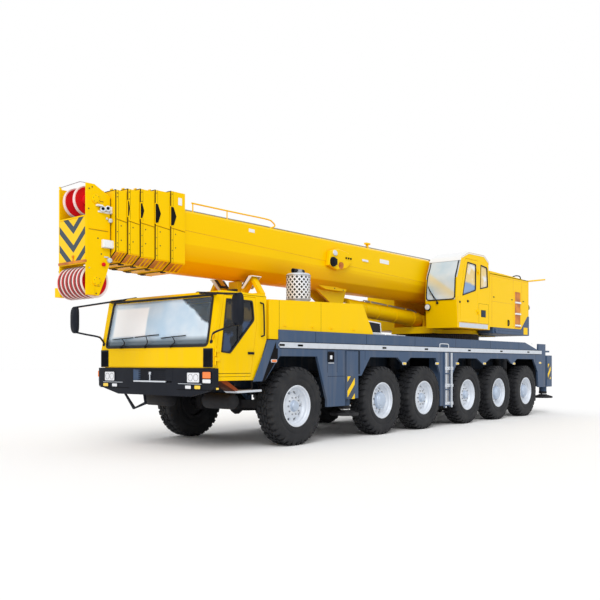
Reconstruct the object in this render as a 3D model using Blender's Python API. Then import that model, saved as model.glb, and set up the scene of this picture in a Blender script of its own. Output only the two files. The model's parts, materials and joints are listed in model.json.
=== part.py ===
# Mobile crane on a six-axle carrier, with a six-section telescopic boom at rest over the cab.
# Metres, +X forward, +Y to the driver's left, +Z up; the origin is on the floor under the middle.
# Lengthwise places are given from the front axle and turned into X by ahead().

import math

import bmesh
import bpy
from mathutils import Matrix, Vector

for leftover in list(bpy.data.objects):
    bpy.data.objects.remove(leftover, do_unlink=True)

# General clearances and overruns
SEAT_GAP = 0.0003
RUN_GAP = 0.006
CUT_OVER = 0.02
WELD_IN = 0.004

# Carrier
HALF_WIDTH = 1.50
SIDE_INSET = 0.05
SIDE_FACE = HALF_WIDTH - SIDE_INSET
AXLE_STEPS = (0.0, -2.65, -4.27, -6.27, -7.95, -9.63)
CARRIER_FRONT = 1.99
TAIL_BACK = -11.42
PAD_RADIUS = 0.27
BACK_JACK_X = -11.235
FRONT_JACK_X = -1.60
HEAD_REACH = 3.57
REACH_BACK = BACK_JACK_X - PAD_RADIUS
FRONT_AXLE_X = -(HEAD_REACH + REACH_BACK) / 2

# Wheels: radii and widths of tyre and rim
TYRE_RADIUS = 0.685
TYRE_HALF = 0.1875
TREAD_HALF = 0.16
BULGE_RADIUS = 0.55
RIM_RADIUS = 0.357
RIM_INSET = 0.022
DISH_RADIUS = 0.29
DISH_DEPTH = 0.165
HUB_RADIUS = 0.155
HUB_INSET = 0.075
WHEEL_BACK = 0.10
WHEEL_SIDES = 26
WHEEL_Y = HALF_WIDTH - TYRE_HALF
LUG_STEP = 0.025

# Axles and steering
KINGPIN_INSET = 0.2925
KINGPIN_Y = WHEEL_Y - KINGPIN_INSET
KNUCKLE_RADIUS = 0.085
KNUCKLE_HALF = 0.10
YOKE_THICK = 0.045
YOKE_RADIUS = 0.075
STUB_RADIUS = 0.075
STEER_ARM = 0.24
STEER_ARM_THICK = 0.04
AXLE_HALF_HIGH = 0.075
AXLE_HALF_DEEP = 0.065
DIFF_RADIUS = 0.20
DIFF_HALF = 0.17
SHAFT_RADIUS = 0.05
STEERED = (0, 1, 4, 5)
YOKE_BACK_GAP = 0.012
YOKE_ROOT = 0.05
DIFF_END_SHARE = 0.45
STRUT_TOP = 1.32
BRACKET_HALF = 0.09
BRACKET_HIGH = 0.16
DRUM_LONG = 0.14
DRUM_RADIUS = 0.12

# Main frame
CAB_FLOOR = 1.154
FRAME_HALF = 0.52
FRAME_LOW = 0.92
FRAME_HIGH = 1.62
FRAME_FRONT = 1.8997
FRAME_BACK = TAIL_BACK
NOSE_LOW = 0.95
NOSE_HIGH = CAB_FLOOR - SEAT_GAP
NOSE_BACK = 0.62
STRUT_RADIUS = 0.06
STRUT_Y = 0.62

# Side panels, deck and ladder box
PANEL_THICK = 0.05
PANEL_TOP = 2.00
PANEL_FRONT = 0.465
STRIP_LOW = 1.69
ARCH_CLEAR = 0.18
ARCH_DROP = 0.13
ARCH_TOP = 2 * TYRE_RADIUS + ARCH_CLEAR
ARCH_KNEE = ARCH_TOP - ARCH_DROP
PANEL_KNEE = 1.19
PANEL_LOW = 0.63
LOCKER_LOW = 0.47
LOCKER_DEEP = 0.30
LOCKER_FRONT = -5.00
LOCKER_BACK = -5.54
FLARE_FRONT = 0.745
FLARE_BACK = 0.445
FLARE_TOE = 1.005
FLARE_HEEL = 0.80
FLARE_TOP = 1.82
PANEL_INSET = 0.03
PANEL_OUT = HALF_WIDTH - PANEL_INSET
DECK_TOP = 1.97
DECK_THICK = 0.05
DECK_FRONT = -2.40
DECK_SLOPE_X = -9.60
DECK_END = -10.50
DECK_SLOPE_Z = 1.80
POST_FRONT = -10.52
POST_BACK = -11.02
POST_LOW = 0.76
POST_HIGH = 1.98
LADDER_FRONT = -5.12
LADDER_BACK = -5.40
LADDER_LOW = 0.43
LADDER_RAIL = 0.03
TREAD_HIGH = 0.03
TREAD_LEVELS = (0.46, 0.82, 1.18)

# Outriggers
BEAM_HALF_X = 0.08
BEAM_LOW = 0.80
BEAM_HIGH = 1.14
BEAM_TAIL_Y = 1.02
BEAM_STEP_X = 0.10
BOX_WALL = 0.02
JACK_BOX_HALF_X = 0.185
JACK_BOX_DEEP = 0.38
JACK_BOX_IN = HALF_WIDTH - JACK_BOX_DEEP
JACK_BOX_LOW = 0.76
JACK_BOX_HIGH = 1.66
BOX_END_GAP = 0.02
BOX_HALF_Y = JACK_BOX_IN - BOX_END_GAP
JACK_INSET = 0.20
JACK_Y = HALF_WIDTH - JACK_INSET
JACK_RADIUS = 0.075
JACK_BORE = JACK_RADIUS + SEAT_GAP
PAD_HIGH = 0.05
PAD_LOW = 0.435
PAD_NECK_RADIUS = 0.11
PAD_NECK_HIGH = 0.05
JACK_CAP = 0.48
SLEEVE_RADIUS = 0.105
SLEEVE_LOW = 0.56

# Engine hood
HOOD_HALF = SIDE_FACE
HOOD_FRONT = 0.70
HOOD_BACK_TOP = -2.00
HOOD_BACK = -2.35
HOOD_TOP_FRONT = 2.50
HOOD_TOP = 2.58
HOOD_CURB = 0.03
HOOD_SHOULDER = PANEL_TOP + HOOD_CURB
HOOD_WALL = 0.04
HOOD_LOW = PANEL_TOP + SEAT_GAP
HOOD_CHIN = 1.835
ENGINE_LONG = 1.45
ENGINE_HALF = 0.45
ENGINE_LOW = FRAME_HIGH + SEAT_GAP
ENGINE_TALL = 0.80
ENGINE_FRONT = 0.10

# Muffler on the hood
MUFFLER_X = -0.71
MUFFLER_INSET = 0.55
MUFFLER_Y = HOOD_HALF - MUFFLER_INSET
MUFFLER_RADIUS = 0.21
MUFFLER_TOP = 3.05
SPOUT_RADIUS = 0.07
SPOUT_TOP = 3.17
SPOUT_LONG = 0.16
SPOUT_SHARE = 0.8

# Boom rest
REST_X = 0.04
REST_HALF_X = 0.06
REST_SILL = 2.70
REST_SILL_THICK = 0.08
REST_APEX = 3.03
REST_APEX_Y = 0.45
REST_APEX_HALF = 0.02
REST_IN_Y = 0.16
REST_OUT_Y = 0.70
REST_LEG = 0.09
REST_PAD_HALF = 0.12

# Carrier cab
CAB_HALF = SIDE_FACE
CAB_HALF_CUT = CAB_HALF + SEAT_GAP
CAB_WALL = 0.05
CAB_NOSE = 1.97
CAB_BELT = 1.667
CAB_BROW_X = 1.80
CAB_BROW_Z = 2.53
CAB_ROOF = 2.57
CAB_BACK = 0.76
CAB_LOW_BACK = 1.02
SCREEN_INSET = 0.15
SCREEN_HALF = CAB_HALF - SCREEN_INSET
SCREEN_LOW = 1.70
SCREEN_HIGH = 2.48
FLARE_IN = 1.02
DOOR_GAP = 0.006

# Cab fittings
SEAT_Y = 0.72
SEAT_HALF = 0.25
SEAT_BACK_X = 1.07
SEAT_DEEP = 0.40
SEAT_FOOT_IN = 0.06
SEAT_FOOT_SHARE = 0.8
SEAT_Z = 1.50
SEAT_THICK = 0.12
BACKREST_TALL = 0.66
BACKREST_THICK = 0.10
DASH_BACK = 1.62
DASH_FOOT = 1.835
DASH_FRONT = 1.90
DASH_LOW = 1.42
DASH_FRONT_Z = 1.64
DASH_HIGH = 1.70
DASH_INSET = 0.09
DASH_HALF = CAB_HALF - DASH_INSET
DASH_LEG_IN = 0.10
MAT_THICK = 0.02
MAT_BACK = 1.08
MAT_INSET = 0.15
MAT_HALF = CAB_HALF - MAT_INSET
STEERING_HUB = (1.50, 0.72, 1.80)
STEERING_LEAN = (-0.5, 0.0, 0.87)
COLUMN_LONG = 0.34
COLUMN_RADIUS = 0.035
SPOKE_SHARE = 0.8
WHEEL_RIM = 0.22
WHEEL_RIM_TUBE = 0.016
MIRROR_OUT = 0.60
MIRROR_Y = HALF_WIDTH + MIRROR_OUT
MIRROR_HALF_Y = 0.12
MIRROR_HALF_Z = 0.25
MIRROR_HALF_X = 0.03
MIRROR_Z = 2.225
MIRROR_X = 2.12
MIRROR_ARM = 0.014
MIRROR_ARM_IN = 0.03
MIRROR_ROOT_LOW = (1.935, 1.39, 1.76)
MIRROR_BEND = (1.985, 1.48, 1.90)
MIRROR_ROOT_HIGH = (1.70, 0.80, 2.575)

# Front bumper
BUMPER_BACK = 1.90
BUMPER_TOP = 1.35
BUMPER_MID_LOW = 0.90
BUMPER_END_LOW = 1.03
BUMPER_KNEE_SHARE = 0.62
GRILLE_DEEP = 0.04
GRILLE_HALF = 0.50
GRILLE_LOW = 1.115
GRILLE_HIGH = 1.33
STIRRUP_X = 1.94
STIRRUP_OUT = -0.81
STIRRUP_KNEE = (-0.56, 0.64)
STIRRUP_TOE = (-0.22, 0.74)
STIRRUP_IN = -0.25
STIRRUP_BAR = 0.035

# Slewing ring and turntable
SLEW_X = -7.45
RING_RADIUS = 1.03
RING_WALL = 0.23
RING_BORE = RING_RADIUS - RING_WALL
RING_LOW = DECK_TOP + SEAT_GAP
RING_HIGH = 2.17
TABLE_LOW = RING_HIGH + SEAT_GAP
DISC_TOP = 2.27
DISC_HIGH = DISC_TOP - SEAT_GAP
TABLE_HIGH = 2.34
TABLE_HALF = 0.60
TABLE_FRONT = -6.15
TABLE_BACK = -9.60
CHEEK_IN = 0.515
CHEEK_OUT = 0.575
PIVOT_X = -9.05
PIVOT_Z = 3.35
PIVOT_RADIUS = 0.11
PIVOT_BOSS = 0.20
CHEEK_TOE = -6.95
CHEEK_KNEE = -7.60
CHEEK_KNEE_Z = 2.62
CHEEK_HEEL = -9.45

# Lift cylinder, from its foot pin to its rod's eye at the boom's lug
FOOT_X = -6.60
FOOT_Z = 2.52
EYE_X = -2.90
EYE_Z = 2.72
BARREL_RADIUS = 0.175
ROD_RADIUS = 0.115
BARREL_BORE = ROD_RADIUS + SEAT_GAP
CYLINDER_SIDES = 20
EYE_RADIUS = 0.13
EYE_HALF = 0.12
FOOT_RADIUS = 0.13
FOOT_HALF = 0.14
FOOT_CHEEK = 0.05
FOOT_CHEEK_REACH = 0.16
FOOT_REACH = FOOT_HALF + CUT_OVER
FOOT_PIN = 0.06
BARREL_START = 0.20
BARREL_NECK = 0.12
BARREL_NECK_START = 0.05
BARREL_FLOOR = 0.30
BARREL_SHORT = 0.42
ROD_START_GAP = 0.06

# Boom: every section is a tube with a boxy collar at its front
BOOM_WALL = 0.016
BOOM_STEP = 0.040
BOOM_HALF = 0.50
BOOM_TOP = 3.96
BOOM_LOW = 2.95
BOOM_BACK = -9.35
BOOM_CORNER = 0.04
ARC_SHARE = 0.9
ARC_SIDES = 5
WEAR_RING = 0.12
SECTION_BACK = -8.90
SECTION_BACK_STEP = 0.10
COLLAR_BACK = 1.73
COLLAR_HALF = 0.53
COLLAR_HALF_STEP = 0.013
COLLAR_LOW = 2.925
COLLAR_LOW_STEP = 0.016
COLLAR_FLAT_SHARE = 0.6
# Front, top and side's lower edge of each collar
COLLARS = (
    (2.035, 4.211, 3.063),
    (2.340, 4.176, 3.079),
    (2.620, 4.143, 3.089),
    (2.850, 4.105, 3.114),
    (3.060, 4.057, 3.131),
)
LUG_IN = EYE_HALF + RUN_GAP
LUG_OUT = 0.18
LUG_RISE = 0.20
LUG_DROP = 0.10
LUG_FRONT = 1.10
LUG_TOE = 0.12
LUG_BACK = 0.32

# Boom head
HEAD_BACK = 3.075
HEAD_HALF = 0.366
HEAD_PLATE = 0.03
HEAD_SHEET = 0.02
HEAD_TAIL_LOW = 2.985
HEAD_TAIL_HIGH = 3.955
HEAD_JAW_X = 3.15
HEAD_JAW_Z = 2.75
HEAD_CHIN_X = 3.28
HEAD_LOW = 2.44
HEAD_FRONT = 3.50
HEAD_BROW_X = 3.36
HEAD_HIGH = 4.10
CHEVRON_LOW = 2.91
CHEVRON_HIGH = 3.61
SHEAVE_RADIUS = 0.25
SHEAVE_HALF = 0.036
GROOVE_DEEP = 0.04
SHEAVE_HUB = 0.10
PIN_RADIUS = 0.05
UPPER_SHEAVE_Z = 3.88
LOWER_SHEAVE_Z = 2.655
UPPER_COUNT = 2
UPPER_PITCH = 0.26
LOWER_COUNT = 6
LOWER_PITCH = 0.104
SHEAVE_SIDES = 20
LOWER_SHEAVE_X = HEAD_REACH - SHEAVE_RADIUS
UPPER_SHEAVE_X = 3.335
UPPER_SHEAVE_RADIUS = 0.23

# Machine houses, counterweight and winch
HOUSE_IN = 0.603
HOUSE_OUT = SIDE_FACE
HOUSE_FRONT = -7.503
HOUSE_BACK = -9.88
HOUSE_LOW = 2.35
HOUSE_HIGH = 3.76
HOUSE_HIGH_BACK = 3.70
RIGHT_HOUSE_FRONT = -6.30
RIGHT_HOUSE_HIGH = 3.40
RIGHT_STEP_X = -7.90
WEIGHT_FRONT = -7.70
WEIGHT_BACK = -9.92
WEIGHT_LOW = 2.19
WEIGHT_HIGH = 2.72
WEIGHT_RISE_X = -9.37
WEIGHT_RISE_END = -9.80
WEIGHT_IN = 1.05
WEIGHT_IN_X = -8.52
BAR_INSET = 0.05
BAR_Y = HOUSE_OUT - BAR_INSET
BAR_ROOT = (-9.70, BAR_Y, 3.67)
BAR_TIP = (-11.13, BAR_Y, 3.85)
BAR_RADIUS = 0.022
WINCH_X = -9.98
WINCH_Z = 3.02
WINCH_HALF = CHEEK_IN - SEAT_GAP
WINCH_DRUM = 0.19
WINCH_FLANGE = 0.26
WINCH_FLANGE_THICK = 0.03
WINCH_STUB = 0.06
WINCH_STUB_LONG = 0.05
WINCH_ARM = 0.09

# Operator's cab
BOOTH_IN = 0.62
BOOTH_OUT = SIDE_FACE
BOOTH_WALL = 0.045
BOOTH_LOW = DISC_HIGH + SEAT_GAP
BOOTH_SEAT_X = -7.05
BOOTH_SEAT_Z = 2.72

# Outlines of the cabs and their doors and windows: distance ahead of the front axle, height
CAB_SIDE = [
    (1.893, CAB_FLOOR), (1.893, BUMPER_TOP + RUN_GAP), (CAB_NOSE, BUMPER_TOP + RUN_GAP), (CAB_NOSE, CAB_BELT),
    (CAB_BROW_X, CAB_BROW_Z), (1.76, CAB_ROOF), (0.80, CAB_ROOF), (CAB_BACK, 2.53), (CAB_BACK, FLARE_TOP),
    (CAB_LOW_BACK, CAB_FLOOR),
]
DOOR_SIDE = [(1.86, 1.22), (1.90, 1.62), (1.73, 2.50), (1.03, 2.50), (1.00, 2.05), (1.14, 1.22)]
DOOR_WINDOW = [(1.69, 2.45), (1.09, 2.45), (1.05, 2.13), (1.60, 1.58), (1.80, 1.60)]
DOOR_HINGE_X = 1.93
DOOR_HINGE_Z = (1.40, 1.54)
DOOR_LEAF = 0.06
BOOTH_SIDE = [
    (-5.82, BOOTH_LOW), (-5.76, 3.02), (-5.80, 3.45), (-6.02, 3.95), (-6.37, 4.09), (-7.19, 4.10),
    (-7.42, 3.97), (-7.50, 3.28), (-7.50, BOOTH_LOW),
]
BOOTH_DOOR = [(-5.98, 2.42), (-5.96, 3.02), (-6.22, 3.93), (-6.84, 3.93), (-6.84, 2.42)]
BOOTH_WINDOW = [(-6.06, 3.03), (-6.31, 3.86), (-6.76, 3.84), (-6.75, 3.20)]
BOOTH_BACK_WINDOW = [(-6.97, 3.25), (-7.00, 3.86), (-7.36, 3.82), (-7.40, 3.33)]
BOOTH_BOOM_WINDOW = [(-6.15, 3.10), (-6.30, 3.86), (-7.20, 3.86), (-7.20, 3.10)]
BOOTH_SCREEN = (3.06, 3.90)
BOOTH_SCREEN_X = (-6.10, -5.70)
BOOTH_SCREEN_INSET = 0.07
BOOTH_HINGE_X = -6.87
BOOTH_HINGE_Z = (2.62, 3.60)
HINGE_STAND = 0.016
HINGE_RADIUS = 0.014
HINGE_FIXED_RADIUS = 0.018
HINGE_TALL = 0.06
HINGE_LEAF = 0.045
HINGE_SKIM = 0.0005

# Places along the lower edge of a side panel: distance ahead of the front axle, height
PANEL_EDGE = (
    (PANEL_FRONT, ARCH_TOP),
    (-0.56, ARCH_TOP),
    (-0.85, JACK_BOX_LOW),
    (-0.85, PANEL_LOW),
    (-1.40, PANEL_LOW),
    (-1.40, JACK_BOX_HIGH + RUN_GAP),
    (-1.80, JACK_BOX_HIGH + RUN_GAP),
    (-1.80, PANEL_KNEE),
    (-1.93, PANEL_KNEE),
    (-2.23, ARCH_TOP),
    (-3.22, ARCH_TOP),
    (-3.42, ARCH_KNEE),
    (-3.52, ARCH_KNEE),
    (-3.73, ARCH_TOP),
    (-4.78, ARCH_TOP),
    (-4.98, PANEL_KNEE),
    (-4.98, LOCKER_LOW),
    (-5.56, LOCKER_LOW),
    (-5.56, PANEL_KNEE),
    (-5.85, ARCH_TOP),
    (-6.76, ARCH_TOP),
    (-7.07, ARCH_KNEE),
    (-7.17, ARCH_KNEE),
    (-7.49, ARCH_TOP),
    (-8.50, ARCH_TOP),
    (-8.73, ARCH_KNEE),
    (-8.83, ARCH_KNEE),
    (-9.07, ARCH_TOP),
    (-10.16, ARCH_TOP),
    (-10.46, PANEL_KNEE),
    (POST_FRONT, POST_LOW),
    (POST_BACK, POST_LOW),
)


def lengthwise(x):
    return FRONT_AXLE_X + x


def make_object(name, bm):
    bmesh.ops.recalc_face_normals(bm, faces=bm.faces)
    mesh = bpy.data.meshes.new(name)
    bm.to_mesh(mesh)
    bm.free()
    shape = bpy.data.objects.new(name, mesh)
    bpy.context.collection.objects.link(shape)
    return shape


def prism(points, low, high, plane="XZ"):
    """An outline in one plane, carried straight from low to high across it."""

    def place(u, v, w):
        across = {"XZ": (u, w, v), "XY": (u, v, w), "YZ": (w, u, v)}[plane]
        return Vector((lengthwise(across[0]), across[1], across[2]))

    bm = bmesh.new()
    first = [bm.verts.new(place(u, v, low)) for u, v in points]
    second = [bm.verts.new(place(u, v, high)) for u, v in points]
    bm.faces.new(first)
    bm.faces.new(second[::-1])
    for i in range(len(points)):
        j = (i + 1) % len(points)
        bm.faces.new((first[j], first[i], second[i], second[j]))
    return make_object("prism", bm)


def block(back, front, right, left, low, high):
    corners = ((back, low), (front, low), (front, high), (back, high))
    return prism(corners, right, left)


def turned(profile, centre, axis, sides, notch=None):
    """A profile of (radius, place along the axis) points turned round the axis. Its ends lie on the axis,
    or else it closes on itself. The flats lie at the stated radius. notch(point, side) shifts a point
    along the axis, for what repeats round it."""
    axis = Vector(axis).normalized()
    up = Vector((0, 0, 1)) if abs(axis.z) < 0.5 else Vector((1, 0, 0))
    first = (up - axis * up.dot(axis)).normalized()
    second = axis.cross(first)
    middle = Vector((lengthwise(centre[0]), centre[1], centre[2]))
    grow = 1 / math.cos(math.pi / sides)
    bm = bmesh.new()
    rings = []
    for index, (radius, along) in enumerate(profile):
        if radius == 0:
            rings.append([bm.verts.new(middle + axis * along)])
            continue
        ring = []
        for side in range(sides):
            turn = 2 * math.pi * (side + 0.5) / sides
            spoke = first * math.cos(turn) + second * math.sin(turn)
            shift = notch(index, side) if notch else 0
            ring.append(bm.verts.new(middle + spoke * radius * grow + axis * (along + shift)))
        rings.append(ring)
    pairs = list(zip(rings, rings[1:]))
    if len(rings[0]) > 1 and len(rings[-1]) > 1:
        pairs.append((rings[-1], rings[0]))
    for one, two in pairs:
        for side in range(sides):
            after = (side + 1) % sides
            corners = [one[side % len(one)], one[after % len(one)], two[after % len(two)], two[side % len(two)]]
            bm.faces.new(list(dict.fromkeys(corners)))
    return make_object("turned", bm)


def rod(start, end, radius, sides=12):
    start, end = Vector(start), Vector(end)
    long = (end - start).length
    return turned(((0, 0), (radius, 0), (radius, long), (0, long)), start, end - start, sides)


def inset(points, by):
    """The outline moved inwards on every side by the same distance."""
    area = sum(a[0] * b[1] - b[0] * a[1] for a, b in zip(points, points[1:] + points[:1]))
    turn = 1 if area > 0 else -1
    lines = []
    for a, b in zip(points, points[1:] + points[:1]):
        way = Vector((b[0] - a[0], b[1] - a[1])).normalized()
        normal = Vector((-way.y, way.x)) * turn
        lines.append((Vector(a) + normal * by, way))
    moved = []
    for (p, u), (q, v) in zip(lines[-1:] + lines[:-1], lines):
        cross = u.x * v.y - u.y * v.x
        gap = q - p
        moved.append(tuple(p + u * ((gap.x * v.y - gap.y * v.x) / cross)))
    return moved


def combine(shapes, operation, base):
    for index, shape in enumerate(shapes):
        shape.hide_render = True
        shape.display_type = "WIRE"
        modifier = base.modifiers.new(f"{operation.lower()}_{index}", "BOOLEAN")
        modifier.operation = operation
        modifier.object = shape


paints = {}


def paint(name, colour, roughness, metallic=0.0):
    if name not in paints:
        material = bpy.data.materials.new(name)
        material.use_nodes = True
        shader = material.node_tree.nodes["Principled BSDF"]
        shader.inputs["Base Color"].default_value = (*colour, 1)
        shader.inputs["Roughness"].default_value = roughness
        shader.inputs["Metallic"].default_value = metallic
        paints[name] = material
    return paints[name]


YELLOW = ("yellow_paint", (0.98, 0.62, 0.0), 0.35)
GREY = ("grey_paint", (0.10, 0.14, 0.21), 0.45)
DARK = ("dark_steel", (0.03, 0.03, 0.035), 0.6)
BLACK = ("black_plastic", (0.02, 0.02, 0.022), 0.5)
TYRE_LOOK = ("tyre_rubber", (0.03, 0.03, 0.032), 0.85)
SILVER = ("silver_steel", (0.55, 0.56, 0.58), 0.35, 0.9)
RED = ("red_sheave", (0.65, 0.02, 0.02), 0.4)


def piece(name, shapes, look, origin=(0, 0, 0), cuts=(), parent=None):
    """One solid: the shapes joined, the cuts taken away, with its origin on the joint that turns it."""
    base = shapes[0]
    combine(shapes[1:], "UNION", base)
    combine(cuts, "DIFFERENCE", base)
    if base.modifiers:
        graph = bpy.context.evaluated_depsgraph_get()
        mesh = bpy.data.meshes.new_from_object(base.evaluated_get(graph))
        base.modifiers.clear()
        base.data = mesh
    for helper in [*shapes[1:], *cuts]:
        bpy.data.objects.remove(helper, do_unlink=True)
    base.name = name
    base.data.name = name
    base.data.materials.clear()
    base.data.materials.append(paint(*look))
    point = Vector(origin)
    if any(origin):
        point.x = lengthwise(point.x)
    base.data.transform(Matrix.Translation(-point))
    base.location = point
    base.data.shade_smooth()
    base.data.set_sharp_from_angle(angle=math.radians(35))
    if parent:
        base.parent = parent
        base.matrix_parent_inverse = Matrix.Translation(-parent.location)
    return base


def joint_empty(name, point, parent=None):
    """An empty on a joint's axis, which carries the pieces that turn with it."""
    empty = bpy.data.objects.new(name, None)
    empty.location = Vector((lengthwise(point[0]), point[1], point[2]))
    bpy.context.collection.objects.link(empty)
    if parent:
        empty.parent = parent
        empty.matrix_parent_inverse = Matrix.Translation(-parent.location)
    return empty


def shoulder_notch(index, side):
    """Every other corner of a tyre's shoulders steps in, which leaves the lugs between."""
    outer, inner = 5, 6
    if index == outer:
        return -LUG_STEP if side % 2 else 0
    if index == inner:
        return 0 if side % 2 else LUG_STEP
    return 0


def make_wheel(name, x, side, parent):
    profile = (
        (0, TYRE_HALF - HUB_INSET),
        (HUB_RADIUS, TYRE_HALF - HUB_INSET),
        (DISH_RADIUS, TYRE_HALF - DISH_DEPTH),
        (RIM_RADIUS, TYRE_HALF - RIM_INSET),
        (BULGE_RADIUS, TYRE_HALF),
        (TYRE_RADIUS, TREAD_HALF),
        (TYRE_RADIUS, -TREAD_HALF),
        (BULGE_RADIUS, -TYRE_HALF),
        (RIM_RADIUS, RIM_INSET - TYRE_HALF),
        (HUB_RADIUS, -WHEEL_BACK),
        (0, -WHEEL_BACK),
    )
    centre = (x, side * WHEEL_Y, TYRE_RADIUS)
    tyre = turned(profile, centre, (0, side, 0), WHEEL_SIDES, shoulder_notch)
    return piece(name, [tyre], TYRE_LOOK, centre, parent=parent)


def make_knuckle(name, x, side):
    kingpin = (x, side * KINGPIN_Y, TYRE_RADIUS)
    half = KNUCKLE_HALF
    seat = side * (WHEEL_Y - WHEEL_BACK - SEAT_GAP)
    arm_half = STEER_ARM_THICK / 2
    body = rod((x, kingpin[1], TYRE_RADIUS - half), (x, kingpin[1], TYRE_RADIUS + half), KNUCKLE_RADIUS, 10)
    stub = rod(kingpin, (x, seat, TYRE_RADIUS), STUB_RADIUS, 10)
    arm = block(
        x - STEER_ARM, x, kingpin[1] - arm_half, kingpin[1] + arm_half,
        TYRE_RADIUS - arm_half, TYRE_RADIUS + arm_half,
    )
    empty = joint_empty(name + "_axis", kingpin)
    return piece(name, [body, stub, arm], DARK, kingpin, parent=empty), empty


def axle_parts(x, steered):
    """A driven beam with its differential and, at each end, a yoke for the knuckle or a fixed flange."""
    deep, high, z = AXLE_HALF_DEEP, AXLE_HALF_HIGH, TYRE_RADIUS
    parts = [turned(
        ((0, -DIFF_HALF), (DIFF_RADIUS * DIFF_END_SHARE, -DIFF_HALF), (DIFF_RADIUS, 0),
         (DIFF_RADIUS * DIFF_END_SHARE, DIFF_HALF), (0, DIFF_HALF)),
        (x, 0, z), (0, 1, 0), 12,
    )]
    end = KINGPIN_Y - KNUCKLE_RADIUS - YOKE_BACK_GAP if steered else WHEEL_Y - WHEEL_BACK - SEAT_GAP
    parts.append(block(x - deep, x + deep, -end, end, z - high, z + high))
    for side in (1, -1):
        foot = z + high - WELD_IN
        parts.append(rod((x, side * STRUT_Y, foot), (x, side * STRUT_Y, STRUT_TOP), STRUT_RADIUS, 8))
        bracket = sorted((side * (FRAME_HALF + SEAT_GAP), side * (STRUT_Y + STRUT_RADIUS)))
        parts.append(block(x - BRACKET_HALF, x + BRACKET_HALF, *bracket, STRUT_TOP - BRACKET_HIGH, STRUT_TOP))
        if not steered:
            parts.append(rod((x, side * (end - DRUM_LONG), z), (x, side * end, z), DRUM_RADIUS, 12))
            continue
        kingpin = side * KINGPIN_Y
        inner = side * (end - YOKE_ROOT)
        reach = sorted((inner, kingpin))
        rise = KNUCKLE_HALF + SEAT_GAP
        parts.append(block(
            x - YOKE_RADIUS, x + YOKE_RADIUS, *sorted((inner, side * end)),
            z - rise - YOKE_THICK, z + rise + YOKE_THICK,
        ))
        for low in (z + rise, z - rise - YOKE_THICK):
            parts.append(block(x - YOKE_RADIUS, x + YOKE_RADIUS, *reach, low, low + YOKE_THICK))
            parts.append(rod((x, kingpin, low), (x, kingpin, low + YOKE_THICK), YOKE_RADIUS, 10))
    return parts


def make_axles(name, first, last):
    parts = []
    for index in range(first, last + 1):
        parts += axle_parts(AXLE_STEPS[index], index in STEERED)
    shaft = rod(
        (AXLE_STEPS[last], 0, TYRE_RADIUS), (AXLE_STEPS[first], 0, TYRE_RADIUS), SHAFT_RADIUS, 6,
    )
    return piece(name, [*parts, shaft], DARK)


def make_frame():
    outline = (
        (FRAME_FRONT, NOSE_HIGH), (FRAME_FRONT, NOSE_LOW), (NOSE_BACK, FRAME_LOW), (FRAME_BACK, FRAME_LOW),
        (FRAME_BACK, DECK_SLOPE_Z - DECK_THICK - SEAT_GAP), (DECK_END, DECK_SLOPE_Z - DECK_THICK - SEAT_GAP),
        (DECK_SLOPE_X, DECK_TOP - DECK_THICK - SEAT_GAP), (DECK_FRONT, DECK_TOP - DECK_THICK - SEAT_GAP),
        (DECK_FRONT, FRAME_HIGH), (NOSE_BACK, FRAME_HIGH), (NOSE_BACK, NOSE_HIGH),
    )
    shapes = [prism(outline, -FRAME_HALF, FRAME_HALF)]
    cuts = []
    box_half = BEAM_STEP_X + BEAM_HALF_X + RUN_GAP + BOX_WALL
    slot_half = BEAM_HALF_X + RUN_GAP
    for x in (FRONT_JACK_X, BACK_JACK_X):
        shapes.append(block(
            x - box_half, x + box_half, -BOX_HALF_Y, BOX_HALF_Y,
            BEAM_LOW - RUN_GAP - BOX_WALL, BEAM_HIGH + RUN_GAP + BOX_WALL,
        ))
        for side in (1, -1):
            middle = x + side * BEAM_STEP_X
            cuts.append(block(
                middle - slot_half, middle + slot_half, -BOX_HALF_Y - CUT_OVER, BOX_HALF_Y + CUT_OVER,
                BEAM_LOW - SEAT_GAP, BEAM_HIGH + RUN_GAP,
            ))
    return piece("chassis_frame", shapes, GREY, cuts=cuts)


def make_outrigger(name, x, side):
    empty = joint_empty(name + "_slide", (x, side * JACK_Y, BEAM_LOW))
    middle = x + side * BEAM_STEP_X
    beam = block(
        middle - BEAM_HALF_X, middle + BEAM_HALF_X, *sorted((-side * BEAM_TAIL_Y, side * JACK_BOX_IN + side * WELD_IN)),
        BEAM_LOW, BEAM_HIGH,
    )
    box = block(
        x - JACK_BOX_HALF_X, x + JACK_BOX_HALF_X, *sorted((side * JACK_BOX_IN, side * HALF_WIDTH)),
        JACK_BOX_LOW, JACK_BOX_HIGH,
    )
    sleeve = rod((x, side * JACK_Y, SLEEVE_LOW), (x, side * JACK_Y, JACK_BOX_LOW + WELD_IN), SLEEVE_RADIUS, 16)
    bore = rod((x, side * JACK_Y, SLEEVE_LOW - CUT_OVER), (x, side * JACK_Y, JACK_BOX_HIGH - JACK_CAP), JACK_BORE, 16)
    piece(name + "_beam", [box, beam, sleeve], GREY, (x, side * JACK_Y, BEAM_LOW), cuts=[bore], parent=empty)
    foot = PAD_LOW + PAD_HIGH
    profile = (
        (0, PAD_LOW), (PAD_RADIUS, PAD_LOW), (PAD_RADIUS, foot), (PAD_NECK_RADIUS, foot),
        (PAD_NECK_RADIUS, foot + PAD_NECK_HIGH), (JACK_RADIUS, foot + PAD_NECK_HIGH),
        (JACK_RADIUS, JACK_BOX_HIGH - JACK_CAP - RUN_GAP), (0, JACK_BOX_HIGH - JACK_CAP - RUN_GAP),
    )
    leg = turned(profile, (x, side * JACK_Y, 0), (0, 0, 1), 16)
    piece(name + "_jack", [leg], SILVER, (x, side * JACK_Y, PAD_LOW), parent=empty)


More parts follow.
